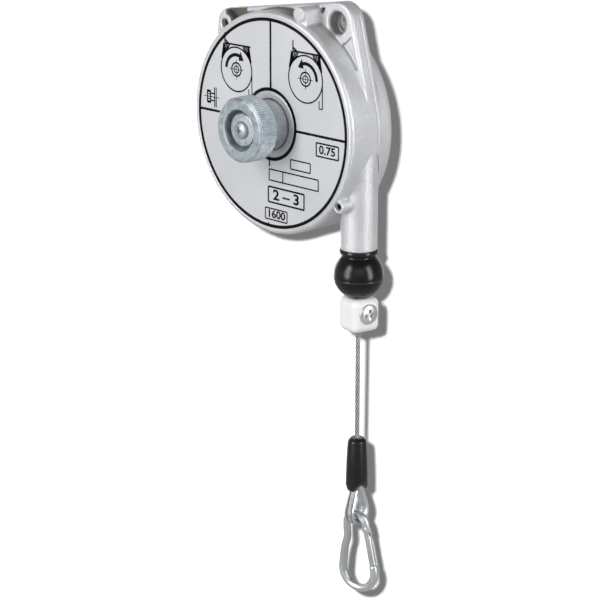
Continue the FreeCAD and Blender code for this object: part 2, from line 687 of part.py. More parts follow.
def clamp_body():
    """Moulded block: a seat for the ball, a rope hole, and room for the jaw, nut and screw."""
    nut_room = nut_af / 2 + nut_gap
    cuts = [Part.makeSphere(ball_r + 0.05, V(tube_x, tube_y, ball_z)),
            cyl_z(rope_r + 0.02, clamp_bottom_z - 1, clamp_top_z + 1),
            cyl_x(jaw_r + 0.05, tube_x, tube_x + jaw_back, clamp_screw_y, clamp_screw_z),
            cyl_x(clamp_screw_r + 0.1, tube_x, tube_x + clamp_right + 1, clamp_screw_y, clamp_screw_z),
            hex_prism_x(nut_af + 2 * nut_gap, nut_front - nut_gap, nut_front + nut_t + nut_gap),
            box(tube_x + nut_front - nut_gap, tube_x + nut_front + nut_t + nut_gap, clamp_screw_y,
                tube_y + clamp_half_y + 1, clamp_screw_z - nut_room, clamp_screw_z + nut_room)]
    block = clamp_block()
    for cutter in cuts:
        block = block.cut(cutter)
    return block


def hex_prism_x(across, start, end):
    """Hexagon about the clamp screw's axis with flats above and below; ends from the rope's centre."""
    corner = across / math.sqrt(3)
    points = [V(tube_x + start, clamp_screw_y + a, clamp_screw_z + b)
              for a, b in (polar(corner, 60 * k) for k in range(6))]
    return Part.Face(Part.makePolygon(points + points[:1])).extrude(V(end - start, 0, 0))


def clamp_jaw():
    """Round jaw with a groove that presses the rope against the block."""
    jaw = cyl_x(jaw_r, tube_x + jaw_front, tube_x + jaw_back - 0.02, clamp_screw_y, clamp_screw_z)
    return jaw.cut(cyl_z(rope_r + 0.02, clamp_bottom_z, clamp_top_z))


def clamp_nut():
    nut = hex_prism_x(nut_af, nut_front, nut_front + nut_t)
    return nut.cut(cyl_x(clamp_screw_r, tube_x, tube_x + clamp_right, clamp_screw_y, clamp_screw_z))


def clamp_screw():
    length = clamp_right - jaw_back - 0.02
    screw = pan_screw(clamp_screw_r - 0.02, length, clamp_screw_head_r, clamp_screw_head_h)
    screw.rotate(V(0, 0, 0), Y_AXIS, 90)
    screw.translate(V(tube_x + clamp_right, clamp_screw_y, clamp_screw_z))
    return screw


# ---- rope end -------------------------------------------------------------------------------------
def along_plane(shape, angle):
    """Swing a solid drawn in the XZ plane about the rope's line."""
    shape = shape.copy()
    shape.rotate(V(0, 0, 0), Z_AXIS, angle)
    shape.translate(V(tube_x, tube_y, 0))
    return shape


def ring_arc(centre, ring_r, wire_r, start, sweep):
    """Round wire bent to an arc in the XZ plane; angles from +X towards +Z."""
    x, z = polar(ring_r, start)
    point = V(centre[0] + x, 0, centre[1] + z)
    tangent = V(-math.sin(math.radians(start)), 0, math.cos(math.radians(start)))
    disc = Part.Face(Part.Wire(Part.makeCircle(wire_r, point, tangent)))
    return disc.revolve(V(centre[0], 0, centre[1]), V(0, -1, 0), sweep)


def rod(a, b, r):
    start, end = V(a[0], 0, a[1]), V(b[0], 0, b[1])
    return Part.makeCylinder(r, (end - start).Length, start, end - start)


def rope_lay():
    """Angle at which the rope's legs leave the thimble, and the point there."""
    rise = ferrule_bottom_z - thimble_z
    leg_x = rope_r + 0.02
    reach = math.hypot(leg_x, rise)
    angle = math.degrees(math.atan2(rise, leg_x)) - math.degrees(math.acos(thimble_rope_r / reach))
    return angle, polar(thimble_rope_r, angle), leg_x


def rope_eye():
    """Rope round the thimble, with two legs that close in on the ferrule."""
    angle, (px, pz), leg_x = rope_lay()
    pieces = [ring_arc((0, thimble_z), thimble_rope_r, rope_r, 180 - angle, 180 + 2 * angle)]
    for side in (1, -1):
        leg = rod((side * px, thimble_z + pz), (side * leg_x, ferrule_bottom_z), rope_r)
        pieces.append(leg)
    below = box(-casing_r, casing_r, -casing_r, casing_r, thimble_z * 2, ferrule_bottom_z)
    return along_plane(fuse(pieces).common(below), thimble_angle)


def thimble():
    """Pressed channel round the eye, open to the outside where the rope lies in it."""
    angle, (px, pz), _ = rope_lay()
    section = thimble_section()
    curl = Part.Face(Part.makePolygon([V(thimble_rope_r + n, t, 0) for n, t in section]))
    curl.rotate(V(0, 0, 0), Y_AXIS, -(180 - angle))
    curl = curl.revolve(V(0, 0, 0), V(0, -1, 0), 180 + 2 * angle)
    curl.translate(V(0, 0, thimble_z))
    pieces = [curl]
    for side in (1, -1):
        limb = Part.Face(Part.makePolygon([V(n, t, 0) for n, t in section])).extrude(V(0, 0, thimble_limb))
        limb.translate(V(thimble_rope_r, 0, 0))
        limb.rotate(V(0, 0, 0), Y_AXIS, -angle)
        limb.translate(V(0, 0, thimble_z))
        pieces.append(limb if side > 0 else limb.mirror(V(0, 0, 0), X_AXIS))
    return along_plane(fuse(pieces), thimble_angle)


def thimble_section():
    """Closed (outward, sideways) section about the rope's centreline: a channel of sheet metal."""
    r, t, side = rope_r + 0.06, thimble_wall, thimble_groove
    lip = rope_r * 0.6
    right = [(lip, side), (lip, side + t), (-r * 0.55, side + t), (-r - t * 1.2, side * 0.54)]
    left = [(n, -w) for n, w in reversed(right)]
    inside = [(-r * 0.28, -side), (-r, -side * 0.4), (-r, side * 0.4), (-r * 0.28, side)]
    return right + left + inside + right[:1]


def ferrule():
    body = cyl_z(ferrule_r, ferrule_bottom_z, ferrule_top_z)
    return body.makeChamfer(0.7, near_edges(body, lambda m, e: abs(m.z - ferrule_top_z) < 0.01))


def ferrule_boot():
    """Black sleeve over the ferrule: closed round the rope on top, cut off at a slant below."""
    inner_r = ferrule_r + 0.05
    top, bottom = boot_top_z, boot_bottom_z
    boot = turned_z([(rope_r + 0.05, top), (boot_top_r - 1.6, top), (boot_top_r - 0.5, top - 0.5),
                     (boot_top_r, top - 1.8), (boot_bottom_r, bottom), (boot_bottom_r - 0.9, bottom),
                     (inner_r, ferrule_bottom_z), (inner_r, ferrule_top_z), (rope_r + 0.05, ferrule_top_z)])
    reach = boot_bottom_r + 2
    rise = reach * boot_cut_slope
    slant = Part.makePolygon([V(0, -reach, bottom - 0.01), V(reach, -reach, bottom - 0.01),
                              V(reach, -reach, bottom + rise), V(0, -reach, bottom - 0.01)])
    return boot.cut(along_plane(Part.Face(slant).extrude(V(0, 2 * reach, 0)), boot_cut_angle))


# ---- snap hook --------------------------------------------------------------------------------------
def hook_geometry():
    """Centres of the two end arcs, and the tangent points of both legs."""
    top, low = (0.0, hook_pivot_z), (hook_bottom_x, hook_pivot_z - hook_bottom_drop)
    dx, dz = top[0] - low[0], top[1] - low[1]
    along = math.degrees(math.atan2(dz, dx))
    spread = math.degrees(math.acos((hook_bottom_r - hook_top_r) / math.hypot(dx, dz)))
    legs = {}
    for name, side in (("right", -1), ("left", 1)):
        angle = along + side * spread
        ax, az = polar(hook_top_r, angle)
        bx, bz = polar(hook_bottom_r, angle)
        legs[name] = (angle, (top[0] + ax, top[1] + az), (low[0] + bx, low[1] + bz))
    return top, low, legs


def leg_point(s):
    """Point s mm down the right leg from its upper tangent point."""
    _, (ax, az), (bx, bz) = hook_geometry()[2]["right"]
    length = math.hypot(bx - ax, bz - az)
    return ax + (bx - ax) * s / length, az + (bz - az) * s / length


def leg_frame(shape, s):
    """Place a solid drawn down -Z from the origin onto the right leg, s mm down it."""
    (ax, az), (bx, bz) = leg_point(0), leg_point(1)
    tilt = math.degrees(math.atan2(bx - ax, az - bz))
    shape = shape.copy()
    shape.rotate(V(0, 0, 0), Y_AXIS, -tilt)
    x, z = leg_point(s)
    shape.translate(V(x, 0, z))
    return shape


def hook_body():
    top, low, legs = hook_geometry()
    right_angle, right_top, right_low = legs["right"]
    left_angle, left_top, left_low = legs["left"]
    sweep_top = left_angle - right_angle
    leg_length = math.hypot(right_low[0] - right_top[0], right_low[1] - right_top[1])
    tip = leg_point(gate_bottom_s - 3.2)
    pieces = [ring_arc(top, hook_top_r, hook_wire_r, right_angle, sweep_top),
              ring_arc(low, hook_bottom_r, hook_wire_r, left_angle, 360 - sweep_top),
              rod(left_top, left_low, hook_wire_r),
              rod(right_top, leg_point(gate_top_s + 1.6), hook_wire_r),
              rod(tip, right_low, hook_wire_r)]
    body = fuse(pieces)
    tongue_half = tongue_t / 2
    for side in (-1, 1):
        cheek = sorted((side * tongue_half, side * 5))
        body = body.cut(leg_frame(box(-3, 3, cheek[0], cheek[1], -2.4, 2.6), gate_top_s))
    slot = box(-4, hook_wire_r * 0.45, -tongue_half - slot_gap, tongue_half + slot_gap, -3.6, 0.6)
    body = body.cut(leg_frame(slot, gate_bottom_s - 3.2))
    pin_hole = cyl_y(gate_pin_r, -5, 5)
    return along_plane(body.cut(leg_frame(pin_hole, gate_top_s)), hook_angle)


def hook_gate():
    """Gate: a bar with a fork over the hook's tongue and a flat tongue that enters the hook's tip."""
    length = gate_bottom_s - gate_top_s
    bar = Part.makeCylinder(gate_r, length - 3.6, V(0, 0, -(length - 3.6)), Z_AXIS)
    head = cyl_y(gate_r + 0.15, -gate_r + 0.1, gate_r - 0.1)
    body = fuse([bar, head])
    half = tongue_t / 2 + slot_gap
    body = body.cut(box(-5, 5, -half, half, -2.9, 5))
    tongue = box(-gate_r, hook_wire_r * 0.3, -tongue_t / 2, tongue_t / 2, -length + 0.2, -(length - 4.5))
    body = fuse([body, tongue])
    body = body.cut(cyl_y(gate_pin_r + fit, -5, 5))
    return along_plane(leg_frame(body, gate_top_s), hook_angle)


def gate_pin():
    """Pivot pin of the gate, headed at both ends."""
    pin = cyl_y(gate_pin_r, -gate_r - 0.3, gate_r + 0.3)
    return along_plane(leg_frame(pin, gate_top_s), hook_angle)


# ---- build ---------------------------------------------------------------------------------------------
PARTS = [front_housing, rear_housing, housing_screws, label_plate, guide_bush, guide_set_screw,
         front_bush, rear_bush, ratchet_spring,
         arbor, end_washer, knob_screw, return_spring, knob,
         drum, spring_cover, cover_rivets, drum_front_bush, drum_rear_bush, power_spring,
         rope_winding, rope_anchor,
         rope_run, ball_bumper, clamp_body, clamp_jaw, clamp_screw, clamp_nut,
         hanging_rope, ferrule, ferrule_boot, rope_eye, thimble,
         hook_body, gate_pin, hook_gate]

os.makedirs("parts", exist_ok=True)
for make in PARTS:
    save(make.__name__, make())
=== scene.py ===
import bpy, bmesh, json
from math import acos, atan2, cos, exp, hypot, pi, radians, sin, sqrt, tan
from mathutils import Matrix, Vector, kdtree

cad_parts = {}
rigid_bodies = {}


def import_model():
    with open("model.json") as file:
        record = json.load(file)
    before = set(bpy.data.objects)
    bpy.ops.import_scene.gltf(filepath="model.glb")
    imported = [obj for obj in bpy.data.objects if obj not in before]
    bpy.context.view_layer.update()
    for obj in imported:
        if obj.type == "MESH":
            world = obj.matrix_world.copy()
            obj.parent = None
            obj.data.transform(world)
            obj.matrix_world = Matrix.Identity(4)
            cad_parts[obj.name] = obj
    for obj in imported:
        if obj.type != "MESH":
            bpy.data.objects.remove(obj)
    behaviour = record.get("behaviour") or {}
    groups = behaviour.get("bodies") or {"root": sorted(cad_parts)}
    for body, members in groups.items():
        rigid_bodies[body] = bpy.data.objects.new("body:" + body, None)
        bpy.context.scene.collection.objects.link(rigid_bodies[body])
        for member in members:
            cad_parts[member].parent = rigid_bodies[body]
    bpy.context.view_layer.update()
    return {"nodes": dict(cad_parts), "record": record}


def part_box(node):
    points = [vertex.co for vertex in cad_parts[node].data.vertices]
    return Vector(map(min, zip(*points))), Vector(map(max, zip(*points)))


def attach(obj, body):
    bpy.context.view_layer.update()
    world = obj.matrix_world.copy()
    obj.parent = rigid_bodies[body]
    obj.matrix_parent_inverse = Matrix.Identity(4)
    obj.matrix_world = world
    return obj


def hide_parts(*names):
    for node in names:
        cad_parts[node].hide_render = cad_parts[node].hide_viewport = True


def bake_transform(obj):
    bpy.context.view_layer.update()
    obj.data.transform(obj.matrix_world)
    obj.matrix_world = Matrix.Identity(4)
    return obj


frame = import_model()
nodes = frame["nodes"]
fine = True
scene = bpy.context.scene
print("frame loaded:", len(nodes), "nodes")


def middle(node):
    low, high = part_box(node)
    return [(a + b) / 2 for a, b in zip(low, high)]


# all shapes below are drawn in millimetres about the drum axis, with the housing's face at y = 0
drumX, _, drumZ = middle("drum")
origin = Vector((drumX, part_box("front_housing")[0][1], drumZ))
rope = {"x": (middle("hanging_rope")[0] - drumX) * 1000,
        "y": (middle("hanging_rope")[1] - origin.y) * 1000,
        "top": (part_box("hanging_rope")[1][2] - drumZ) * 1000,
        "end": (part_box("hanging_rope")[0][2] - drumZ) * 1000, "r": 1.0}
ropeAxis = (rope["x"], rope["y"], 0)


def at(x, y, z):
    return origin + Vector((x, y, z)) / 1000


def linked(name, data):
    thing = bpy.data.objects.new(name, data)
    scene.collection.objects.link(thing)
    return thing


# camera
cameraSet = {"azimuth": 45.17, "elevation": 17.08, "distance": 968.8, "right": 14.39, "up": -85.15, "lens": 120,
             "sensor": 36, "near": 0.05, "far": 30}


def addCamera(c):
    az, el = radians(c["azimuth"]), radians(c["elevation"])
    back = Vector((sin(az) * cos(el), -cos(az) * cos(el), sin(el)))
    right = Vector((cos(az), sin(az), 0))
    up = back.cross(right)
    data = bpy.data.cameras.new("camera")
    data.lens, data.sensor_width = c["lens"], c["sensor"]
    data.clip_start, data.clip_end = c["near"], c["far"]
    camera = linked("camera", data)
    turn = Matrix((right, up, back)).transposed().to_4x4()
    place = back * c["distance"] + right * c["right"] + up * c["up"]
    camera.matrix_world = Matrix.Translation(at(*place)) @ turn
    scene.camera = camera
    return back, right, up


toCamera, viewRight, viewUp = addCamera(cameraSet)


# mesh tools
def spoke(angle, r=1):
    return Vector((cos(angle), sin(angle))) * r


def newPiece(name, points, faces, smooth=True, sharp=35):
    mesh = bpy.data.meshes.new(name)
    mesh.from_pydata([tuple(p) for p in points], [], faces)
    mesh.validate()
    fixNormals(mesh)
    if smooth:
        mesh.shade_smooth()
        mesh.set_sharp_from_angle(angle=radians(sharp))
    return linked(name, mesh)


def fixNormals(mesh):
    bm = bmesh.new()
    bm.from_mesh(mesh)
    bmesh.ops.remove_doubles(bm, verts=bm.verts, dist=1e-7)
    bmesh.ops.recalc_face_normals(bm, faces=bm.faces)
    bm.to_mesh(mesh)
    bm.free()


def roundCorners(corners, steps=4):
    # corners are (r, h) or (r, h, rounding); a rounding puts an arc in place of the corner
    out = []
    n = len(corners)
    for i, corner in enumerate(corners):
        rounding = corner[2] if len(corner) > 2 else 0
        p = Vector(corner[:2])
        if not rounding:
            out.append(p)
            continue
        a, b = Vector(corners[i - 1][:2]) - p, Vector(corners[(i + 1) % n][:2]) - p
        la, lb = a.length, b.length
        a.normalize()
        b.normalize()
        half = a.angle(b) / 2
        reach = min(rounding / tan(half), la * 0.49, lb * 0.49)
        start, end = p + a * reach, p + b * reach
        centre = p + (a + b).normalized() * (reach / cos(half))
        u, v = start - centre, end - centre
        sweep = u.angle(v)
        for k in range(steps + 1):
            t = k / steps
            w = (u * sin((1 - t) * sweep) + v * sin(t * sweep)) / sin(sweep) if sweep > 1e-4 else u
            out.append(centre + w)
    return out


axisTurn = {"Y": Matrix(((1, 0, 0), (0, 0, 1), (0, 1, 0))), "Z": Matrix.Identity(3),
            "X": Matrix(((0, 0, 1), (1, 0, 0), (0, 1, 0)))}


def lathe(name, corners, axis="Y", centre=(0, 0, 0), segments=128, shape=None, steps=4, sharp=35):
    # closed profile of (r, h) turned about an axis through centre; shape(r, h, angle) may move points
    points, faces, rings = [], [], []
    for p in roundCorners(corners, steps):
        ring = []
        # a corner on the axis is one point
        for k in range(segments if p.x > 1e-6 else 1):
            angle = 2 * pi * k / segments
            r, h = shape(p.x, p.y, angle) if shape else p
            ring.append(len(points))
            place = axisTurn[axis] @ Vector((r * cos(angle), r * sin(angle), h))
            points.append(at(*(Vector(centre) + place)))
        rings.append(ring)
    for i, ring in enumerate(rings):
        other = rings[(i + 1) % len(rings)]
        for k in range(segments if len(ring) + len(other) > 2 else 0):
            j = (k + 1) % segments
            face = (ring[k % len(ring)], ring[j % len(ring)], other[j % len(other)], other[k % len(other)])
            faces.append(tuple(dict.fromkeys(face)))
    return newPiece(name, points, faces, sharp=sharp)


def stacked(name, rows, smooth=False, sharp=35):
    # closed skin over rows of equally many places
    n = len(rows[0])
    faces = [tuple(range(n)), tuple(range(len(rows) * n - 1, len(rows) * n - n - 1, -1))]
    for j in range(0, (len(rows) - 1) * n, n):
        faces += [(j + k, j + (k + 1) % n, j + n + (k + 1) % n, j + n + k) for k in range(n)]
    return newPiece(name, [at(*p) for row in rows for p in row], faces, smooth, sharp)


def prism(name, outline, y0, y1):
    # (x, z) outline pulled along y
    return stacked(name, [[(x, y, z) for x, z in outline] for y in (y0, y1)])


def boxPiece(name, x0, x1, y0, y1, z0, z1):
    return prism(name, [(x0, z0), (x1, z0), (x1, z1), (x0, z1)], y0, y1)


def rod(name, r, start, end, axis="Y", centre=(0, 0, 0), segments=64):
    return lathe(name, [(0, start), (r, start), (r, end), (0, end)], axis, centre, segments)


def evaluated(thing):
    bpy.context.view_layer.update()
    return bpy.data.meshes.new_from_object(thing.evaluated_get(bpy.context.evaluated_depsgraph_get()))


def applied(piece):
    mesh = evaluated(piece)
    piece.modifiers.clear()
    piece.data = mesh


def combine(piece, others, how="UNION"):
    for other in others:
        step = piece.modifiers.new("step", "BOOLEAN")
        step.operation, step.solver, step.object = how, "MANIFOLD", other
        applied(piece)
        bpy.data.objects.remove(other)
    return piece


def castSkin(piece, voxel, passes):
    # even fine mesh with the soft edges of a casting or moulding
    remesh = piece.modifiers.new("skin", "REMESH")
    remesh.mode, remesh.voxel_size = "VOXEL", voxel / 1000
    remesh.use_smooth_shade = True
    soften = piece.modifiers.new("soften", "SMOOTH")
    soften.iterations, soften.factor = passes, 0.5
    applied(piece)
    piece.data.shade_smooth()
    return piece


def carried(path, side=None):
    # tangent, side and up at each point, carried along the path without twist
    frames = []
    for i in range(len(path)):
        t = (path[min(i + 1, len(path) - 1)] - path[max(i - 1, 0)]).normalized()
        side = t.orthogonal() if side is None else side
        side = (side - t * side.dot(t)).normalized()
        frames.append((t, side, t.cross(side)))
    return frames


def sweep(name, path, section, start=None, sharp=50):
    # section(i, t) gives the loop of (across, up) offsets at point i, which is t of the way along
    rows = []
    for i, (p, (_, side, up)) in enumerate(zip(path, carried(path, start))):
        rows.append([p + side * a + up * b for a, b in section(i, i / (len(path) - 1))])
    return stacked(name, rows, True, sharp)


def circleLoop(r, count):
    return [(r * cos(t), r * sin(t)) for t in (2 * pi * k / count for k in range(count))]


def joined(name, pieces):
    bm = bmesh.new()
    for piece in pieces:
        bm.from_mesh(piece.data)
        bpy.data.objects.remove(piece)
    mesh = bpy.data.meshes.new(name)
    bm.to_mesh(mesh)
    bm.free()
    return linked(name, mesh)


def fit(piece, body, look, slot, *replaced):
    piece.data.materials.clear()
    piece.data.materials.append(mats[look])
    if replaced:
        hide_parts(*replaced)
    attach(piece, body)


# shader groups and materials
def feed(tree, node, inputs):
    # each input takes a value, or is linked to the output given
    for title, value in inputs.items():
        if isinstance(value, bpy.types.NodeSocket):
            tree.links.new(value, node.inputs[title])
        else:
            node.inputs[title].default_value = value


def addNode(tree, kind, inputs={}, **settings):
    node = tree.nodes.new(kind)
    for title, value in settings.items():
        setattr(node, title, value)
    feed(tree, node, inputs)
    return node


def newGroup(name, inputs, *outputs):
    group = bpy.data.node_groups.new(name, "ShaderNodeTree")
    for title, value in inputs.items():
        group.interface.new_socket(title, in_out="INPUT", socket_type="NodeSocketFloat").default_value = value
    for title in outputs:
        group.interface.new_socket(title, in_out="OUTPUT", socket_type="NodeSocketFloat")
    place = group.nodes.new("ShaderNodeTexCoord").outputs["Object"]
    return group, group.nodes.new("NodeGroupInput").outputs, group.nodes.new("NodeGroupOutput"), place


def math2(tree, kind, a, b):
    return addNode(tree, "ShaderNodeMath", {0: a, 1: b}, operation=kind).outputs[0]


def noiseAt(tree, vector, scale, detail, rough):
    inputs = {"Vector": vector, "Scale": scale, "Detail": detail, "Roughness": rough}
    return addNode(tree, "ShaderNodeTexNoise", inputs).outputs["Fac"]


def ramped(tree, value, low, high, **settings):
    inputs = {"Value": value, "From Min": low, "From Max": high}
    return addNode(tree, "ShaderNodeMapRange", inputs, **settings).outputs[0]


def blendColour(tree, share, a, b):
    return addNode(tree, "ShaderNodeMix", {0: share, 6: a, 7: b}, data_type="RGBA").outputs[2]


def makeGrainGroup():
    # grain of a cast, moulded or plated skin: height for a bump, a fine mask and slow patches
    group, given, out, place = newGroup("skinGrain", {"Grain Scale": 900.0, "Patch Scale": 60.0, "Pits": 0.3},
                                        "Height", "Fine", "Patches")
    fineNoise = noiseAt(group, place, given["Grain Scale"], 4.0, 0.6)
    patches = noiseAt(group, place, given["Patch Scale"], 3.0, 0.5)
    cells = addNode(group, "ShaderNodeTexVoronoi", {"Vector": place, "Scale": given["Grain Scale"]})
    pits = math2(group, "MULTIPLY", cells.outputs["Distance"], given["Pits"])
    feed(group, out, {"Height": math2(group, "ADD", fineNoise, pits), "Fine": ramped(group, fineNoise, 0.34, 0.66),
                      "Patches": ramped(group, patches, 0.34, 0.66)})
    return group


def makeWearGroup():
    # bright rubbed edges and a darker colour in the hollows, from how sharply the surface turns
    group, given, out, place = newGroup("edgeWear", {"Edge": 0.53, "Hollow": 0.47, "Break Up": 120.0}, "Worn", "Dirt")
    uneven = math2(group, "SUBTRACT", noiseAt(group, place, given["Break Up"], 3.0, 0.6), 0.5)
    geometry = group.nodes.new("ShaderNodeNewGeometry")
    turn = math2(group, "ADD", geometry.outputs["Pointiness"], math2(group, "MULTIPLY", uneven, 0.03))
    for title, near, reach in (("Worn", "Edge", 0.06), ("Dirt", "Hollow", -0.06)):
        far = math2(group, "ADD", given[near], reach)
        feed(group, out, {title: ramped(group, turn, given[near], far)})
    return group


def makeLinesGroup():
    # fine lines drawn one way, as on rolled or turned metal
    group, given, out, place = newGroup("drawnLines", {"Line Scale": 60.0}, "Lines")
    mapping = addNode(group, "ShaderNodeMapping", {"Vector": place, "Scale": (1.0, 1.0, 40.0)})
    feed(group, out, {"Lines": noiseAt(group, mapping.outputs[0], given["Line Scale"], 4.0, 0.7)})
    return group


grainGroup, wearGroup, linesGroup = makeGrainGroup(), makeWearGroup(), makeLinesGroup()
# every look starts from these; depth is the height of the bump in metres
plainLook = {"metal": 0.0, "specular": 0.5, "roughSwing": 0.1, "grain": 900, "patch": 60, "pits": 0.3, "bump": 0.3,
             "depth": 0.0001, "darker": 0.85, "speck": 0.2, "speckColour": (0.9, 0.9, 0.9), "worn": 0.3,
             "wornColour": (0.85, 0.86, 0.87), "dirt": 0.3, "dirtColour": (0.12, 0.12, 0.12)}


def newTree(name):
    mat = bpy.data.materials.new(name)
    mat.use_nodes = True
    return mat, mat.node_tree


def material(name, look):
    look = {**plainLook, **look}
    mat, tree = newTree(name)
    grain = addNode(tree, "ShaderNodeGroup", node_tree=grainGroup)
    feed(tree, grain, {"Grain Scale": look["grain"], "Patch Scale": look["patch"], "Pits": look["pits"]})
    wear = addNode(tree, "ShaderNodeGroup", node_tree=wearGroup)
    dark = [c * look["darker"] for c in look["colour"]]
    colour = blendColour(tree, grain.outputs["Patches"], (*dark, 1), (*look["colour"], 1))
    for node, title, key in ((grain, "Fine", "speck"), (wear, "Worn", "worn"), (wear, "Dirt", "dirt")):
        share = math2(tree, "MULTIPLY", node.outputs[title], look[key])
        colour = blendColour(tree, share, colour, (*look[key + "Colour"], 1))
    # painted shade: darker brown colour from a per-point attribute set on the housings
    if "recess" in look:
        recess = addNode(tree, "ShaderNodeAttribute", attribute_name="recess")
        colour = blendColour(tree, recess.outputs["Fac"], colour, (*look["recess"], 1))
    if "grooves" in look:
        # painted shade in the grooves between the strands, from the crown attribute
        crown = addNode(tree, "ShaderNodeAttribute", attribute_name="crown")
        colour = blendColour(tree, crown.outputs["Fac"], (*look["grooves"], 1), colour)
    swing = math2(tree, "MULTIPLY", grain.outputs["Patches"], look["roughSwing"])
    height = grain.outputs["Height"]
    if "lines" in look:
        lines = addNode(tree, "ShaderNodeGroup", node_tree=linesGroup)
        height = math2(tree, "ADD", height, math2(tree, "MULTIPLY", lines.outputs[0], look["lines"]))
    bump = addNode(tree, "ShaderNodeBump", {"Strength": look["bump"], "Distance": look["depth"], "Height": height})
    feed(tree, tree.nodes["Principled BSDF"], {
        "Base Color": colour, "Roughness": math2(tree, "ADD", look["rough"] - look["roughSwing"] / 2, swing),
        "Metallic": look["metal"], "Specular IOR Level": look["specular"], "Normal": bump.outputs[0]})
    return mat


looks = {
    # the brown colour at the end of castAluminium is painted shade in the pockets, the eye's bore and on the casing top
    "castAluminium": {"colour": (0.68, 0.69, 0.71), "rough": 0.44, "metal": 0.5, "grain": 1300, "patch": 45,
                      "bump": 0.8, "depth": 0.00022, "speck": 0.3, "worn": 0.4, "dirt": 0.6, "darker": 0.86,
                      "pits": 0.5, "recess": (0.155, 0.138, 0.12)},
    "labelMetal": {"colour": (0.62, 0.63, 0.65), "rough": 0.56, "metal": 0.1, "grain": 2500, "patch": 30,
                   "bump": 0.12, "depth": 0.00003, "lines": 0.4, "worn": 0, "dirt": 0, "darker": 0.93, "speck": 0.1},
    "ink": {"colour": (0.003, 0.003, 0.0035), "rough": 0.65, "specular": 0.1, "grain": 3000, "bump": 0.1,
            "speck": 0.003, "worn": 0, "dirt": 0},
    "zincKnob": {"colour": (0.53, 0.60, 0.64), "rough": 0.40, "roughSwing": 0.22, "metal": 0.8, "grain": 1100,
                 "patch": 420, "bump": 0.5, "depth": 0.00014, "speck": 0.5, "speckColour": (0.66, 0.74, 0.78),
                 "worn": 0.6, "dirt": 0.7, "dirtColour": (0.06, 0.07, 0.075), "darker": 0.68},
    "screwZinc": {"colour": (0.46, 0.49, 0.51), "rough": 0.52, "metal": 0.8, "grain": 1800, "patch": 160,
                  "bump": 0.15, "depth": 0.00005, "worn": 0.4, "dirt": 0.7, "darker": 0.8},
    "zincSteel": {"colour": (0.68, 0.71, 0.72), "rough": 0.37, "metal": 0.85, "grain": 1800, "patch": 120,
                  "bump": 0.1, "depth": 0.00005, "worn": 0.4, "dirt": 0.6, "darker": 0.86},
    "steel": {"colour": (0.52, 0.53, 0.54), "rough": 0.3, "metal": 0.95, "grain": 2000, "patch": 90, "bump": 0.15,
              "depth": 0.00004, "dirt": 0.4},
    "springSteel": {"colour": (0.22, 0.25, 0.30), "rough": 0.32, "metal": 0.9, "grain": 1800, "patch": 90,
                    "bump": 0.15, "depth": 0.00004, "worn": 0.5},
    "bronze": {"colour": (0.55, 0.37, 0.18), "rough": 0.45, "metal": 0.85, "grain": 2600, "patch": 120,
               "depth": 0.00005, "worn": 0.2, "dirt": 0.4},
    "blackSteel": {"colour": (0.03, 0.03, 0.032), "rough": 0.4, "metal": 0.6, "grain": 2200, "bump": 0.2,
                   "depth": 0.00004, "speck": 0.05, "dirt": 0.2},
    "blackPlastic": {"colour": (0.006, 0.006, 0.0065), "rough": 0.25, "specular": 0.4, "grain": 1600, "patch": 90,
                     "depth": 0.00008, "speckColour": (0.03, 0.03, 0.032), "worn": 0.15,
                     "wornColour": (0.12, 0.12, 0.125), "dirt": 0.1},
    "blackRubber": {"colour": (0.003, 0.003, 0.0034), "rough": 0.24, "specular": 0.4, "grain": 2200, "patch": 70,
                    "bump": 0.25, "depth": 0.00006, "speckColour": (0.02, 0.018, 0.018), "worn": 0.1,
                    "wornColour": (0.1, 0.1, 0.1), "dirt": 0.1},
    # lighter than the ball: painted highlight along the real mould seam ridge
    "mouldSeam": {"colour": (0.05, 0.05, 0.052), "rough": 0.4, "grain": 2600, "speck": 0.1, "worn": 0.2, "dirt": 0.2},
    "whitePlastic": {"colour": (0.90, 0.90, 0.90), "rough": 0.42, "grain": 1400, "patch": 50, "bump": 0.12,
                     "depth": 0.00005, "speck": 0.05, "worn": 0, "dirt": 0.25, "dirtColour": (0.5, 0.5, 0.5),
                     "darker": 0.97},
    # the near-black colour at the end of wireRope is painted shade in the grooves between strands
    "wireRope": {"colour": (0.70, 0.68, 0.64), "rough": 0.42, "metal": 0.4, "grain": 3000, "patch": 500, "bump": 0.2,
                 "depth": 0.00005, "worn": 0.2, "darker": 0.6, "grooves": (0.012, 0.010, 0.008)},
}
looks["blackSleeve"] = dict(looks["blackPlastic"], colour=(0.003, 0.003, 0.0036), rough=0.27, specular=0.5,
                            speckColour=(0.03, 0.03, 0.034))
# lighter copy of the same wire rope for the eye: painted light, with its groove shade painted lighter too
looks["eyeRope"] = dict(looks["wireRope"], colour=(0.86, 0.86, 0.85), grooves=(0.10, 0.095, 0.09))
mats = {name: material(name, look) for name, look in looks.items()}
print("materials:", len(mats))

# other slots are named like their look
slotLooks = {"cast_housing": "castAluminium", "drum_metal": "castAluminium"}
for part in frame["record"]["subparts"]:
    slot = part["material_slot"]
    first, *words = slot.split("_")
    node = nodes[part["node"]]
    node.data.materials.clear()
    node.data.materials.append(mats[slotLooks.get(slot, first + "".join(w.capitalize() for w in words))])

# rope below the clamp, made first
# dark and fade set where the painted shade in the grooves starts and how soft its edge is
strandSet = {"strands": 6, "lay": 15.6, "strandR": 0.34, "circleR": 0.84, "coreR": 0.58, "dark": 0.48,
             "fade": 0.3}


def ropeCurve(name, route):
    curve = bpy.data.curves.new(name, "CURVE")
    curve.dimensions = "3D"
    curve.resolution_u = 24
    spline = curve.splines.new("NURBS")
    spline.points.add(len(route) - 1)
    for point, place in zip(spline.points, route):
        point.co = (*at(*place), 1)
    spline.order_u = 3
    spline.use_endpoint_u = True
    return curve


def curvePoints(curve):
    holder = linked("routeHolder", curve)
    points = [(Vector(v.co) - origin) * 1000 for v in evaluated(holder).vertices]
    bpy.data.objects.remove(holder)
    return points


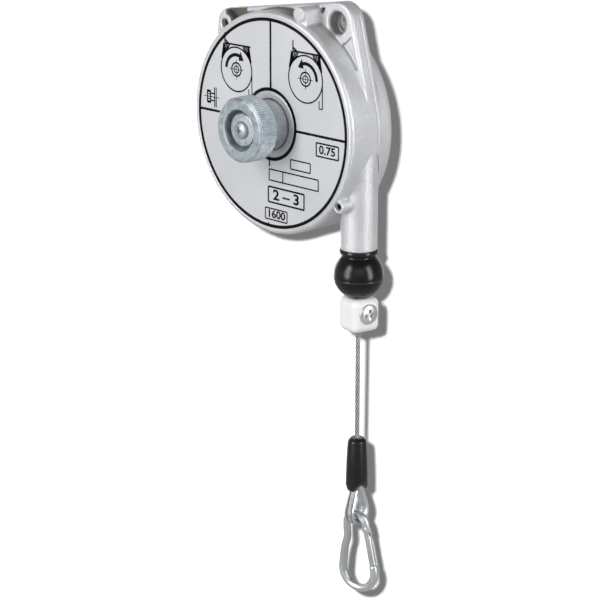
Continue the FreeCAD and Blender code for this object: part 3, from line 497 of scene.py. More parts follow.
def evenPoints(points, step):
    out, rest = [points[0].copy()], step
    for a, b in zip(points, points[1:]):
        length, done = (b - a).length, 0.0
        while length - done > rest:
            done += rest
            out.append(a + (b - a) * (done / length))
            rest = step
        rest -= length - done
    if (out[-1] - points[-1]).length > step * 0.3:
        out.append(points[-1].copy())
    return out


def ropeStrands(name, points, s, step=0.45):
    # wire strands laid round a core, along evenly spaced points
    path = evenPoints(points, step)
    frames = carried(path)
    pieces = [sweep(name + "Core", path, lambda i, t: circleLoop(s["coreR"], 10))]
    for k in range(s["strands"]):
        line = []
        for i, (p, (_, side, up)) in enumerate(zip(path, frames)):
            angle = 2 * pi * (k / s["strands"] + i * step / s["lay"])
            line.append(p + (side * cos(angle) + up * sin(angle)) * s["circleR"])
        pieces.append(sweep(name + "Strand", line, lambda i, t: circleLoop(s["strandR"], 10)))
    laid = joined(name, pieces)
    # how far out each point lies, 0 in the grooves and 1 on the crowns; the material paints shade into the grooves from
    # it
    tree = kdtree.KDTree(len(path))
    for i, p in enumerate(path):
        tree.insert(at(*p), i)
    tree.balance()
    deep, high = s["circleR"] / 1000, (s["circleR"] + s["strandR"]) / 1000
    crown = laid.data.attributes.new("crown", "FLOAT", "POINT")
    for v, value in zip(laid.data.vertices, crown.data):
        _, i, _ = tree.find(v.co)
        off, along = v.co - at(*path[i]), frames[i][0]
        off -= along * off.dot(along)
        value.value = min(1, max(0, ((off.length - deep) / (high - deep) - s["dark"]) / s["fade"]))
    return laid


hangRoute = [(rope["x"], rope["y"], z) for z in (rope["top"], rope["top"] - 20, rope["end"] + 20, rope["end"])]
ropeBelow = ropeStrands("ropeBelowClamp", curvePoints(ropeCurve("hangRoute", hangRoute)), strandSet)
fit(ropeBelow, "line", "wireRope", "wire_rope", "hanging_rope")
print("rope laid")

# housings
caseSet = {"r": 54.6, "joint": 18.3, "depth": 29.5, "edge": 1.9, "rearEdge": 3.2, "rearInset": 0.2, "dome": 1.5,
           "domeR": 13.4, "earFront": 12.5, "earRear": 21.6, "lugRear": 25.0, "eye": (32.5, 51.3), "eyeR": 10.0,
           "eyeHole": 5.4, "mouth": 1.3, "safety": (-42.9, 42.5), "safetyR": 7.8, "hole": (-45.3, 42.4), "holeR": 2.4,
           "holeBossR": 4.8, "soft": 1.2, "rib": 2.4, "web": 1.4, "pocket": 6.2, "notch": (-45.0, -29.3),
           "hub": (12.6, 3.2), "labelSeat": (15.6, 52.35, 0.45), "voxel": 0.34, "quickVoxel": 0.7, "passes": 5,
           "border": [(46.0, 50.0), (39.2, 44.0), (20.0, 30.0), (20.0, 50.0)]}
lugSet = {"r": 3.5, "top": (19.0, 55.3), "topFront": 0.2, "angles": (158, 236), "sideFront": 9.5, "screwSeat": 2.95}
tubeSet = {"r": 8.95, "bottom": -56.6, "top": -9.0, "bore": 6.05}
setScrewSet = {"z": -33.5, "r": 3.15, "front": 1.0, "hole": 2.0}


def hullOutline(circles, steps=48):
    points = [Vector(place) + spoke(2 * pi * k / steps, r) for place, r in circles for k in range(steps)]
    points.sort(key=lambda p: (p.x, p.y))

    def half(run):
        chain = []
        for p in run:
            while len(chain) > 1 and (chain[-1] - chain[-2]).cross(p - chain[-2]) <= 0:
                chain.pop()
            chain.append(p)
        return chain[:-1]
    return [tuple(p) for p in half(points) + half(points[::-1])]


def earPlate(name, c, shrink, y0, y1, soft=0.0):
    # plate between two planes, its edge rounded by soft at y0
    circles = [((0, 0), c["r"] - shrink), (c["eye"], c["eyeR"] - shrink), (c["safety"], c["safetyR"] - shrink)]
    outline = [Vector(p) for p in hullOutline(circles, 160)]
    n, way = len(outline), 1 if y1 > y0 else -1
    inward = []
    for k in range(n):
        along = (outline[(k + 1) % n] - outline[k - 1]).normalized()
        inward.append(Vector((-along.y, along.x)))
    turns = [pi / 2 * k / 6 for k in range(7)] if soft else [pi / 2]
    levels = [(y0 + way * soft * (1 - cos(t)), soft * (1 - sin(t))) for t in turns] + [(y1, 0.0)]
    return stacked(name, [[(p.x + q.x * inset, y, p.y + q.y * inset) for p, q in zip(outline, inward)]
                          for y, inset in levels])


def inFace(place):
    return place[0], 0, place[1]


def eyeTool(c):
    # cuts the suspension eye with its rounded mouths
    r, m, front, rear = c["eyeHole"], c["mouth"], c["earFront"], c["earRear"]
    corners = [(0, 5), (r, 5), (r, front - 0.2), (r + m, front - 0.2), (r + m * 0.3, front + m * 0.35), (r, front + m),
               (r, c["joint"]), (r - 0.5, c["joint"]), (r - 0.5, rear - 0.6), (r, rear + 0.1), (r, 40), (0, 40)]
    return lathe("eyeHole", corners, centre=inFace(c["eye"]), segments=96)


def makeLugs(lug, case, r, y0, y1):
    # rods at the three housing screws; a missing y0 means the front of each boss
    places = [(lug["top"], lug["topFront"])]
    for angle in lug["angles"]:
        places.append((spoke(radians(angle), case["r"]), lug["sideFront"]))
    return [rod("lug", r, front if y0 is None else y0, y1, centre=inFace(place), segments=48)
            for place, front in places]


def markPaintedShade(piece, c):
    # painted shade: 1 in the deep pockets of the casting, part way in the bore of the eye, and on the casing top under
    # the beam
    safety, eye, hole = Vector(c["safety"]), Vector(c["eye"]), Vector(c["hole"])
    front, leftEnd, rightEnd = c["earFront"], *c["notch"]
    along = (eye - safety).normalized()
    lean = (c["safetyR"] - c["eyeR"]) / (eye - safety).length
    outward = along * lean + Vector((-along.y, along.x)) * sqrt(1 - lean * lean)
    recess = piece.data.attributes.new("recess", "FLOAT", "POINT")
    for v, value in zip(piece.data.vertices, recess.data):
        x, y, z = (v.co - origin) * 1000
        p = Vector((x, z))
        inEye = (p - eye).length
        between = z > 15 and x < eye.x and p.length > c["r"] - 0.5 and inEye > c["eyeR"] - 0.4
        offBoss = (p - hole).length > c["holeBossR"] - 0.4 or y > front + 2.5
        if front + 0.7 < y < c["joint"] + 0.5 and between and offBoss:
            rim = 0.6 if leftEnd < x < rightEnd else c["rib"] - 0.3
            if (p - eye).dot(outward) < c["eyeR"] - rim:
                value.value = min(1, (y - front - 0.7) / 1.5)
        # painted shade part way in the bore of the eye
        elif inEye < c["eyeHole"] + 0.4 and front + 1.2 < y < c["earRear"] - 1.0:
            value.value = 0.55
        elif 2.0 < y < front + 1.2 and z > 20 and abs(p.length - c["r"]) < 0.7 and x > rightEnd - 4:
            # painted shade on the top of the casing between the ears, under the beam
            share = 0.9 if x < lugSet["top"][0] else 0.5 * max(0, 1 - (x - 22) / 20)
            value.value = share * min(1, (y - 2.0) / 1.5)


def castHousing(name, body, c):
    castSkin(body, c["voxel"] if fine else c["quickVoxel"], c["passes"])
    markPaintedShade(body, c)
    fit(body, "housing", "castAluminium", "cast_housing", name)


def makeFrontHousing(c, lug, tube, setScrew):
    r, front, joint = c["r"], c["earFront"], c["joint"]
    body = lathe("frontCasting", [(0, 0), (r, 0, c["edge"]), (r, joint), (0, joint)], segments=256)
    plate = earPlate("earPlate", c, 0, front, joint, c["soft"])
    inner = earPlate("pocketTool", c, c["rib"], front - 1, joint + 1)
    kept = [rod("keep", r, front - 2, joint + 1, segments=256), prism("keep", c["border"], front - 2, joint + 1)]
    kept += [rod("keep", q, front - 2, joint + 1, centre=inFace(place)) for q, place in
             ((c["eyeR"], c["eye"]), (c["holeBossR"], c["hole"]))]
    combine(inner, kept, "DIFFERENCE")
    floor = boxPiece("shallow", c["eye"][0], 120, front - 1, front + c["web"], 0, 120)
    combine(floor, [boxPiece("deep", -120, c["eye"][0], front - 1, front + c["pocket"], 0, 120)])
    combine(inner, [floor], "INTERSECT")
    notch = boxPiece("notch", *c["notch"], front - 1, joint + 1, 0, 120)
    combine(notch, [rod("keep", r, front - 2, joint + 2, segments=256),
                    rod("keep", c["holeBossR"], front - 2, joint + 2, centre=inFace(c["hole"]))], "DIFFERENCE")
    for tool in (inner, notch):
        combine(plate, [tool], "DIFFERENCE")
    outlet = rod("outlet", tube["r"], tube["bottom"], tube["top"], "Z", ropeAxis, 96)
    outletTop = rod("outletTop", tube["r"], tube["top"] - 1, 1, "Z", ropeAxis, 96)
    combine(outletTop, [boxPiece("behind", 0, 120, joint, 60, -60, 60)], "DIFFERENCE")
    screwPlace = (rope["x"], 0, setScrew["z"])
    boss = rod("setBoss", setScrew["r"], setScrew["front"], rope["y"], centre=screwPlace, segments=48)
    x, z = lug["top"]
    web = boxPiece("lugWeb", x - lug["r"], x + lug["r"], c["edge"], joint, z - 7, z)
    combine(body, [plate, outlet, outletTop, boss, web] + makeLugs(lug, c, lug["r"], None, joint))
    hubR, hubDepth = c["hub"]
    seatIn, seatOut, seatDepth = c["labelSeat"]
    combine(body, [rod("hub", hubR, -1, hubDepth, segments=96),
                   lathe("labelSeat", [(seatIn, -1), (seatOut, -1), (seatOut, seatDepth), (seatIn, seatDepth)],
                         segments=256),
                   eyeTool(c), rod("safetyHole", c["holeR"], 5, 40, centre=inFace(c["hole"])),
                   rod("bore", tube["bore"], tube["bottom"] - 1, tube["bottom"] + 12, "Z", ropeAxis, 64),
                   rod("setHole", setScrew["hole"], 0, 6, centre=screwPlace, segments=48)], "DIFFERENCE")
    castHousing("front_housing", body, c)


def makeRearHousing(c, lug, tube):
    r, dome = c["r"] - c["rearInset"], c["depth"] + c["dome"]
    body = lathe("rearCasting", [(0, c["joint"]), (r, c["joint"]), (r, c["depth"], c["rearEdge"]),
                                 (c["domeR"], c["depth"]), (c["domeR"] - 0.4, dome, 0.7), (0, dome)], segments=256)
    combine(body, [earPlate("earPlateRear", c, 0.1, c["earRear"], c["joint"], c["soft"])] +
            makeLugs(lug, c, lug["r"], c["joint"], c["lugRear"]))
    combine(body, [eyeTool(c), rod("safetyHole", c["holeR"], 5, 40, centre=inFace(c["hole"])),
                   rod("tubeRoom", tube["r"] + 0.15, tube["bottom"] - 10, tube["top"] + 0.15, "Z", ropeAxis, 96)] +
            makeLugs(lug, c, lug["screwSeat"], c["lugRear"] - 3, c["lugRear"] + 2), "DIFFERENCE")
    castHousing("rear_housing", body, c)


makeFrontHousing(caseSet, lugSet, tubeSet, setScrewSet)
makeRearHousing(caseSet, lugSet, tubeSet)
print("housings made")

# label plate and its print
labelSet = {"r": 52.2, "hole": 15.9, "front": 0.05, "back": 0.4, "ink": 0.03, "outer": 51.6, "ringW": 1.65,
            "inner": 16.3, "innerW": 1.7, "line": 1.25}


def makeLabel(s):
    return lathe("labelPlate", [(s["hole"], s["front"], 0.08), (s["r"], s["front"], 0.12), (s["r"], s["back"]),
                                (s["hole"], s["back"])], segments=256)


inkParts = []


def ink(outline):
    if sum(a[0] * b[1] - b[0] * a[1] for a, b in zip(outline, outline[1:] + outline[:1])) < 0:
        outline = outline[::-1]
    inkParts.append(prism("ink", outline, labelSet["front"] - labelSet["ink"], labelSet["front"] + 0.02))


def inkRing(x, z, r, width, start=0, end=360, steps=96):
    count = max(4, int(steps * (end - start) / 360))
    angles = [radians(start + (end - start) * k / count) for k in range(count + 1)]
    for a, b in zip(angles, angles[1:]):
        ink([Vector((x, z)) + spoke(t, r + q) for q, t in
             ((-width / 2, a), (width / 2, a), (width / 2, b), (-width / 2, b))])


def inkLine(x0, z0, x1, z1, width):
    dx, dz = x1 - x0, z1 - z0
    n = hypot(dx, dz)
    ox, oz = -dz / n * width / 2, dx / n * width / 2
    ink([(x0 + ox, z0 + oz), (x1 + ox, z1 + oz), (x1 - ox, z1 - oz), (x0 - ox, z0 - oz)])


def inkLines(x, z, lines):
    # lines and boxes are (x0, z0, x1, z1, width), counted from (x, z)
    for x0, z0, x1, z1, width in lines:
        inkLine(x + x0, z + z0, x + x1, z + z1, width)


def inkBox(x, z, x0, z0, x1, z1, width):
    corners = [(x0, z0), (x1, z0), (x1, z1), (x0, z1)]
    inkLines(x, z, [(*a, *b, width) for a, b in zip(corners, corners[1:] + corners[:1])])


def inkFigures(text, x, z, height, stretch):
    # plain figures, centred on (x, z)
    curve = bpy.data.curves.new("figures", "FONT")
    curve.body, curve.extrude = text, 0.02
    curve.align_x, curve.align_y = "CENTER", "CENTER"
    curve.size, curve.offset = height * 1.38, height * 0.038
    holder = linked("figures", curve)
    mesh = evaluated(holder)
    bpy.data.objects.remove(holder)
    for v in mesh.vertices:
        v.co = at(x + v.co.x * stretch, labelSet["front"] - 0.01 - v.co.z, z + v.co.y)
    fixNormals(mesh)
    inkParts.append(linked("figures", mesh))


def inkArrow(x, z, r, start, end, width):
    # thick curved arrow from start to end, in degrees
    inkRing(x, z, r, width, min(start, end), max(start, end), 72)
    side = 1 if end > start else -1
    a, tip = radians(end), radians(end + side * 30)
    reach = width * 1.45
    centre = Vector((x, z))
    ink([centre + spoke(a, r - reach), centre + spoke(a, r + reach), centre + spoke(tip, r * 0.97)])


def inkBalancer(x, z, r, start, end):
    # outline of a balancer with its arrow
    for q, width, steps in ((r, 0.75, 96), (3.3, 0.8, 40), (1.7, 0.6, 32)):
        inkRing(x, z, q, width, steps=steps)
    top, foot = r + 1.2, -r - 1.6
    lines = [(-5.0, 0, 5.0, 0, 0.35), (0, -5.0, 0, 5.0, 0.35), (-r * 0.74, top, r * 0.92, top, 0.9),
             (-r * 0.74, top, -r * 0.74, top + 5.2, 0.8), (-r * 0.74, top + 1.8, -r * 0.52, top + 0.2, 1.0),
             (r, 0, r, foot, 0.65), (r - 2.2, -r * 0.8, r - 2.2, foot, 0.6), (r - 2.2, foot, r, foot, 0.6)]
    for q in (-r, r):
        lines.append((q * 0.80, top, q * 0.96, r * 0.40, 0.8))
        lines += [(q * (0.42 + 0.10 * k), top, q * (0.58 + 0.085 * k), r * (0.78 - 0.06 * k), 0.75) for k in range(5)]
        ink([(x + q * 0.80, z + top), (x + q * 0.96, z + r * 0.40), (x + q * 0.70, z + r * 0.80)])
    inkLines(x, z, lines)
    inkArrow(x, z, r * 0.66, start, end, 1.7)


def inkKnobSketch(x, z):
    # side view of the knob pulled out
    inkBox(x, z, -3.6, -3.0, -1.2, 3.0, 0.75)
    inkBox(x, z, -1.2, -1.8, 1.8, 1.8, 0.7)
    inkLines(x, z, [(-3.4, -2.4 + 1.2 * k, -1.4, -2.4 + 1.2 * k, 0.65) for k in range(5)])
    inkLines(x, z, [(1.8, -5.0, 1.8, 5.0, 0.8), (3.0, -5.0, 3.0, 5.0, 0.55), (-6.2, 0, 5.2, 0, 0.35)])


def makePrint(s):
    far, near, line = s["outer"] - 0.5, s["inner"], s["line"]
    inkRing(0, 0, s["outer"] - s["ringW"] / 2, s["ringW"], steps=256)
    inkRing(0, 0, near + s["innerW"] / 2, s["innerW"], steps=128)
    inkLines(0, 0, [(0.3, near, 0.3, far, line), (-far, 0.9, -near, 1.0, line), (near, -0.85, far, -0.85, line),
                    (-0.8, -16.4, -0.8, -21.1, 0.9), (-1.6, -51.2, -1.6, -49.4, 0.8), (8.5, -27.8, 8.5, -22.3, 0.7)])
    for box in ((31.3, -10.6, 46.0, -4.2, 0.8), (13.9, -19.9, 27.3, -15.2, 0.7), (-1.0, -27.8, 32.7, -22.3, 0.7),
                (-1.6, -38.8, 23.1, -31.1, 0.9), (-3.8, -47.6, 11.4, -42.0, 0.7)):
        inkBox(0, 0, *box)
    inkBalancer(-23.7, 23.7, 10.9, 178, 72)
    inkBalancer(24.0, 25.2, 11.3, -2, 104)
    inkKnobSketch(-41.5, 7.6)
    inkFigures("0.75", 38.6, -7.4, 4.1, 1.12)
    inkFigures("2 – 3", 10.8, -35.0, 5.2, 1.25)
    inkFigures("1600", 3.8, -44.8, 4.0, 1.15)
    return joined("labelPrint", inkParts)


fit(makeLabel(labelSet), "housing", "labelMetal", "label_metal", "label_plate")
fit(makePrint(labelSet), "housing", "ink", "label_metal")
print("label printed")

# knob
knobSet = {"r": 15.9, "front": -20.995, "rear": -10.2, "sleeve": 12.2, "end": 2.2, "well": 9.7, "floor": -12.0,
           "teeth": 78, "depth": 0.42, "chamfer": 1.3, "bore": 5.06, "wall": 0.8}


def makeKnob(k):
    bandFront, bandRear = k["front"] + k["chamfer"] * 0.8, k["rear"] - 0.7

    def knurl(r, h, angle):
        if r < k["r"] - 0.05 or h < bandFront - 0.01 or h > bandRear + 0.01:
            return r, h
        swing = abs(((angle * k["teeth"] / (2 * pi)) % 1) - 0.5) * 2
        return r - k["depth"] * min(1, swing * 1.3), h

    r, front, rear, inside = k["r"], k["front"], k["rear"], k["floor"] + k["wall"]
    corners = [(0, k["floor"]), (k["well"], k["floor"], 0.5), (k["well"] + 0.25, front + 0.5),
               (k["well"] + 0.6, front, 0.25), (r - k["chamfer"], front, 0.5),
               (r - 0.3, front + k["chamfer"] * 0.7, 0.3), (r, bandFront)]
    steps = 8
    corners += [(r, bandFront + 0.35 + (bandRear - bandFront - 0.7) * i / steps) for i in range(steps + 1)]
    corners += [(r, bandRear), (r - 0.6, rear, 0.3), (k["sleeve"], rear, 0.5), (k["sleeve"], k["end"]),
                (k["bore"], k["end"]), (k["bore"], inside), (0, inside)]
    return lathe("knobBody", corners, segments=k["teeth"] * 8, shape=knurl, sharp=24)


washerSet = {"r": 8.0, "front": -18.7, "back": -17.5}
panSet = {"r": 4.4, "h": 2.6}


def crossTool(name, size, depth, axis, centre, seat, facing):
    # two crossed tapered blades that cut a cross recess, seat above the centre
    blades = []
    for turn in (6, 96):
        c, s = cos(radians(turn)), sin(radians(turn))
        rows = [[Vector(centre) + axisTurn[axis] @ Vector((a * c - b * s, a * s + b * c, facing * (seat + h)))
                 for a, b in ((-long, -wide), (long, -wide), (long, wide), (-long, wide))]
                for h, long, wide in ((0.3, size, size * 0.26), (-depth, size * 0.35, size * 0.16))]
        blades.append(stacked(name, rows))
    return combine(blades[0], blades[1:])


def panHead(name, r, h, axis, centre, facing, shank, length, cross=0.5):
    # domed head whose seat is at height 0 of the centre; facing is 1 or -1 along the axis
    dome = [(0, h), (r * 0.45, h * 0.93, r * 0.5), (r * 0.86, h * 0.62, r * 0.3), (r, h * 0.25, 0.3), (r, 0, 0.15),
            (shank, 0), (shank, -length), (0, -length)]
    head = lathe(name, [(q, y * facing, *soft) for q, y, *soft in dome], axis, centre, 96, steps=6)
    tool = crossTool(name + "Recess", r * cross, h * 0.75, axis, centre, h * 0.98, facing)
    combine(head, [tool], "DIFFERENCE")
    head.data.set_sharp_from_angle(angle=radians(35))
    return head


fit(makeKnob(knobSet), "knob", "zincKnob", "zinc_knob", "knob")
fit(lathe("endWasher", [(2.2, washerSet["back"]), (2.2, washerSet["front"]), (washerSet["r"], washerSet["front"], 0.35),
                        (washerSet["r"], washerSet["back"])], segments=96), "arbor", "zincKnob", "zinc_steel",
    "end_washer")
fit(panHead("knobScrew", panSet["r"], panSet["h"], "Y", (0, washerSet["front"], 0), -1, 1.98, 9.0), "arbor",
    "screwZinc", "zinc_steel", "knob_screw")
# return coil between washer and knob; the real one is squashed when the knob is pulled, this one is drawn at rest
coilSet = {"r": 6.4, "turns": 3.0, "wide": 0.55, "thick": 0.33}


def makeReturnCoil(c):
    y0, y1 = washerSet["back"] + 0.4, knobSet["floor"] - 0.45
    count = int(48 * c["turns"])
    path = []
    for k in range(count + 1):
        a = 2 * pi * c["turns"] * k / count
        path.append(Vector((c["r"] * cos(a), y0 + (y1 - y0) * k / count, c["r"] * sin(a))))
    loop = [(-c["wide"], -c["thick"]), (c["wide"], -c["thick"]), (c["wide"], c["thick"]), (-c["wide"], c["thick"])]
    return sweep("returnCoil", path, lambda i, t: loop, start=Vector((1, 0, 0)))


returnCoil = makeReturnCoil(coilSet)
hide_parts("return_spring")
returnCoil.data.materials.append(mats["springSteel"])
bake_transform(returnCoil)
print("knob made")

# guide bush, ball and clamp
bushSet = {"bore": 1.5, "liner": 6.0, "collar": 9.5, "neck": 8.25, "top": -27.0, "seat": 3.9, "play": 0.1}
ballSet = {"r": 12.2, "z": -69.5, "seam": -71.0}
seamR = sqrt(ballSet["r"] ** 2 - (ballSet["seam"] - ballSet["z"]) ** 2)
clampSet = {"turn": -12, "left": 8.6, "right": 7.9, "halfY": 8.0, "round": 6.0, "corner": 3.4, "edge": 3.2,
            "top": -80.7, "bottom": -97.5, "hole": 1.15, "voxel": 0.22, "passes": 4}
clampScrewSet = {"r": 5.1, "h": 1.7, "z": -88.0, "dy": 0.6, "shank": 2.4, "length": 6.0, "cross": 0.7}


def makeBush(b, bottom):
    seatZ, seatR = bottom - b["seat"], ballSet["r"] + b["play"]
    lip = sqrt(seatR ** 2 - (seatZ - ballSet["z"]) ** 2)
    liner, collar, neck = b["liner"], b["collar"], b["neck"]
    corners = [(b["bore"], b["top"] - 6), (liner - 1, b["top"]), (liner, b["top"] - 1), (liner, bottom),
               (collar - 0.2, bottom, 0.3), (collar, bottom - 1.2, 0.6), (collar - 0.4, bottom - 2.2, 0.5),
               (neck - 0.3, bottom - 2.9, 0.5), (neck, bottom - 3.5, 0.2), (lip + 0.35, seatZ, 0.15), (lip, seatZ)]
    low = sqrt(seatR ** 2 - b["bore"] ** 2) + ballSet["z"]
    for z in (seatZ + (low - seatZ) * k / 8 for k in range(1, 9)):
        corners.append((sqrt(max(0, seatR ** 2 - (z - ballSet["z"]) ** 2)), z))
    return lathe("guideBush", corners, "Z", ropeAxis)


def makeBall(b, bore=1.3, count=72):
    seam = [(seamR + out, b["seam"] + up) for out, up in ((0.02, 0.24), (0.12, 0.09), (0.12, -0.09), (-0.06, -0.24))]
    above, below = [], []
    for a in (pi / 2 - pi * k / count for k in range(1, count)):
        r, z = b["r"] * cos(a), b["r"] * sin(a) + b["z"]
        if r > bore + 0.1 and abs(z - b["seam"]) > 0.28:
            (above if z > b["seam"] else below).append((r, z))
    reach = sqrt(b["r"] ** 2 - bore ** 2)
    corners = [(bore, b["z"] + reach)] + above + seam + below + [(bore, b["z"] - reach)]
    return lathe("ballBumper", corners, "Z", ropeAxis, sharp=60)


def turned(piece, angle):
    # turns a piece about the rope
    axis, turn = at(*ropeAxis), Matrix.Rotation(radians(angle), 3, "Z")
    for v in piece.data.vertices:
        v.co = axis + turn @ (v.co - axis)
    return piece


def makeClamp(c):
    # block flat towards the screw and well rounded on the other side
    left, right = rope["x"] - c["left"], rope["x"] + c["right"]
    block = boxPiece("clampBlock", left, right, rope["y"] - c["halfY"], rope["y"] + c["halfY"], c["bottom"], c["top"])
    bm = bmesh.new()
    bm.from_mesh(block.data)

    def upright(x):
        return [e for e in bm.edges if abs(e.verts[0].co.z - e.verts[1].co.z) > 0.005
                and abs((e.verts[0].co.x - origin.x) * 1000 - x) < 0.1]

    def steep():
        return [e for e in bm.edges if e.is_manifold and e.calc_face_angle(0) > radians(60)]

    for find, size, segments in ((lambda: upright(left), c["round"], 10), (lambda: upright(right), c["corner"], 6),
                                 (steep, c["edge"], 6)):
        bmesh.ops.bevel(bm, geom=find(), offset=size / 1000, segments=segments, profile=0.5, affect="EDGES")
    bm.to_mesh(block.data)
    bm.free()
    seatR = ballSet["r"] + 0.05
    seat = [(seatR * sin(a), ballSet["z"] - seatR * cos(a)) for a in (pi * k / 48 for k in range(49))]
    tools = [lathe("seat", seat, "Z", ropeAxis, 96),
             rod("ropeHole", c["hole"], c["bottom"] - 1, c["top"] + 1, "Z", ropeAxis, 48)]
    combine(block, tools, "DIFFERENCE")
    return castSkin(block, c["voxel"], c["passes"])


fit(makeBush(bushSet, tubeSet["bottom"]), "housing", "blackPlastic", "black_plastic", "guide_bush")
fit(makeBall(ballSet), "line", "blackRubber", "black_rubber", "ball_bumper")
# real mould seam ridge round the ball, coloured lighter as a painted highlight
fit(lathe("ballSeam", [(seamR - 0.5, ballSet["seam"] + 0.1), (seamR + 0.14, ballSet["seam"] + 0.07, 0.04),
                       (seamR + 0.14, ballSet["seam"] - 0.07, 0.04), (seamR - 0.5, ballSet["seam"] - 0.1)],
          "Z", ropeAxis), "line", "mouldSeam", "black_rubber")
fit(turned(makeClamp(clampSet), clampSet["turn"]), "line", "whitePlastic", "white_plastic", "clamp_body")
screwPlace = (rope["x"] + clampSet["right"], rope["y"] + clampScrewSet["dy"], clampScrewSet["z"])
fit(turned(panHead("clampScrew", clampScrewSet["r"], clampScrewSet["h"], "X", screwPlace, 1, clampScrewSet["shank"],
                   clampScrewSet["length"], clampScrewSet["cross"]), clampSet["turn"]),
    "line", "zincSteel", "zinc_steel", "clamp_screw")
print("ball and clamp made")

# rope in the tube: a straight piece between housing and line
tubeRopeTop = (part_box("rope_run")[1][2] - drumZ) * 1000
tubeRoute = [Vector((rope["x"], rope["y"], tubeRopeTop + (rope["top"] - tubeRopeTop) * k / 60)) for k in range(61)]
tubeRope = sweep("ropeInTube", tubeRoute, lambda i, t: circleLoop(rope["r"], 20))
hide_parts("rope_run")
tubeRope.data.materials.append(mats["wireRope"])
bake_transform(tubeRope)

# ferrule boot, thimble and rope eye
bootSet = {"top": -154.0, "bottom": -181.6, "topR": 4.6, "bottomR": 5.5, "bore": 3.75, "boreTop": -177.6,
           "slope": 1.765, "cutFrom": 2.24, "slant": -7}
eyeSet = {"z": -192.8, "ropeR": 6.4, "plane": 101.0, "wall": 0.6, "groove": 1.6, "bed": 1.08, "lip": 0.6,
          "limb": 12.6, "legX": 1.02, "legTop": -177.5}


def planePoint(x, z, angle, y=0):
    # place in an upright plane through the rope, y across it
    a = radians(angle)
    return Vector((rope["x"] + x * cos(a) - y * sin(a), rope["y"] + x * sin(a) + y * cos(a), z))


def makeBoot(b):
    top, bottom, topR, bottomR = b["top"], b["bottom"], b["topR"], b["bottomR"]
    corners = [(1.1, top - 3), (1.1, top - 0.1), (topR - 1.4, top, 0.5), (topR, top - 1.6, 1.2),
               (topR + 0.55, top - 11, 6), (bottomR - 0.1, bottom + 9, 6), (bottomR, bottom + 2.6, 2),
               (bottomR - 0.7, bottom, 1.2), (bottomR - 1.3, bottom, 0.2), (b["bore"], b["boreTop"]),
               (b["bore"], top - 3)]
    boot = lathe("ferruleBoot", corners, "Z", ropeAxis, 96)
    # slanted cut, higher on the side of the direction given
    low, wide = bottom - 0.02, 9
    profile = [(b["cutFrom"], low), (wide, low), (wide, low + (wide - b["cutFrom"]) * b["slope"])]
    slant = stacked("slant", [[planePoint(x, z, b["slant"], y) for x, z in profile] for y in (-wide, wide)])
    combine(boot, [slant], "DIFFERENCE")
    boot.data.set_sharp_from_angle(angle=radians(35))
    return boot


def eyePath(e, extra):
    # down one leg, round the eye and up the other; extra is how far up each leg
    rise = e["legTop"] - e["z"]
    a = atan2(rise, e["legX"]) - acos(e["ropeR"] / hypot(e["legX"], rise))
    px, pz = e["ropeR"] * cos(a), e["z"] + e["ropeR"] * sin(a)
    length = hypot(px - e["legX"], e["legTop"] - pz)
    shares = [extra * (1 - k / 12) / length for k in range(12)]
    leg = [(px + (e["legX"] - px) * t, pz + (e["legTop"] - pz) * t) for t in shares]
    angles = [a - (pi + 2 * a) * k / 60 for k in range(61)]
    arc = [(e["ropeR"] * cos(t), e["z"] + e["ropeR"] * sin(t)) for t in angles]
    return [planePoint(x, z, e["plane"]) for x, z in leg + arc + [(-x, z) for x, z in reversed(leg)]]


def makeThimble(e):
    r, t, side, lip = e["bed"], e["wall"], e["groove"], e["lip"]
    outer = [(lip, side + t + 0.45), (lip - 0.55, side + t + 0.3), (-0.5, side + t * 0.9), (-1.0, side + t * 0.5),
             (-r - t * 0.9, side * 0.55), (-r - t, 0)]
    inner = [(lip + 0.15, side + 0.25), (lip - 0.4, side + 0.05), (-0.3, side * 0.95), (-r * 0.75, side * 0.7),
             (-r * 0.97, side * 0.4), (-r, 0)]
    loop = outer + [(n, -s) for n, s in outer[-2::-1]] + [(n, -s) for n, s in inner] + inner[-2::-1]
    path = eyePath(e, e["limb"])
    centre = planePoint(0, e["z"], e["plane"])

    def section(i, s):
        # the limbs narrow towards their ends
        shrink = min(1, (0.35 + 0.65 * min(s, 1 - s) / 0.12))
        return [(n if n < 0 else n * shrink, w * (0.75 + 0.25 * shrink)) for n, w in loop]
    # side of the sweep points out from the eye
    outward = (path[1] - path[0]).cross(planePoint(0, e["z"], e["plane"], 1) - centre).normalized()
    if outward.dot(path[20] - centre) < 0:
        outward = -outward
    return sweep("thimbleChannel", path, section, start=outward, sharp=40)


fit(makeBoot(bootSet), "line", "blackSleeve", "black_plastic", "ferrule_boot")
fit(makeThimble(eyeSet), "line", "zincSteel", "zinc_steel", "thimble")
fit(ropeStrands("ropeEyeStrands", eyePath(eyeSet, 15.5), dict(strandSet, lay=8.4, dark=0.3), 0.35), "line",
    "eyeRope", "wire_rope", "rope_eye")
print("rope end made")

# snap hook
hookSet = {"plane": 11.0, "r": 2.2, "topR": 5.6, "lowR": 9.35, "lowX": 1.7, "drop": 24.8, "gateTop": 3.1,
           "gateEnd": 25.2, "gateR": 1.75, "pinR": 0.8, "neck": 1.1}
pivotZ = eyeSet["z"] - (eyeSet["ropeR"] - 1.06 - eyeSet["wall"] * 1.2) - (hookSet["topR"] - hookSet["r"] - 0.16)


def hookLines(h):
    top, low = Vector((0, pivotZ)), Vector((h["lowX"], pivotZ - h["drop"]))
    d = top - low
    along, spread = atan2(d.y, d.x), acos((h["lowR"] - h["topR"]) / d.length)
    legs = {}
    for name, side in (("right", -1), ("left", 1)):
        a = along + side * spread
        legs[name] = (a, top + spoke(a, h["topR"]), low + spoke(a, h["lowR"]))
    return top, low, legs


def hookFrame(h, s):
    # centre, downward and outward directions on the right leg, s below its upper end
    _, a, b = hookLines(h)[2]["right"]
    down = (b - a).normalized()
    return a + down * s, down, Vector((-down.y, down.x))


def hookPoint(p, h, y=0):
    return planePoint(p.x, p.y, h["plane"], y)


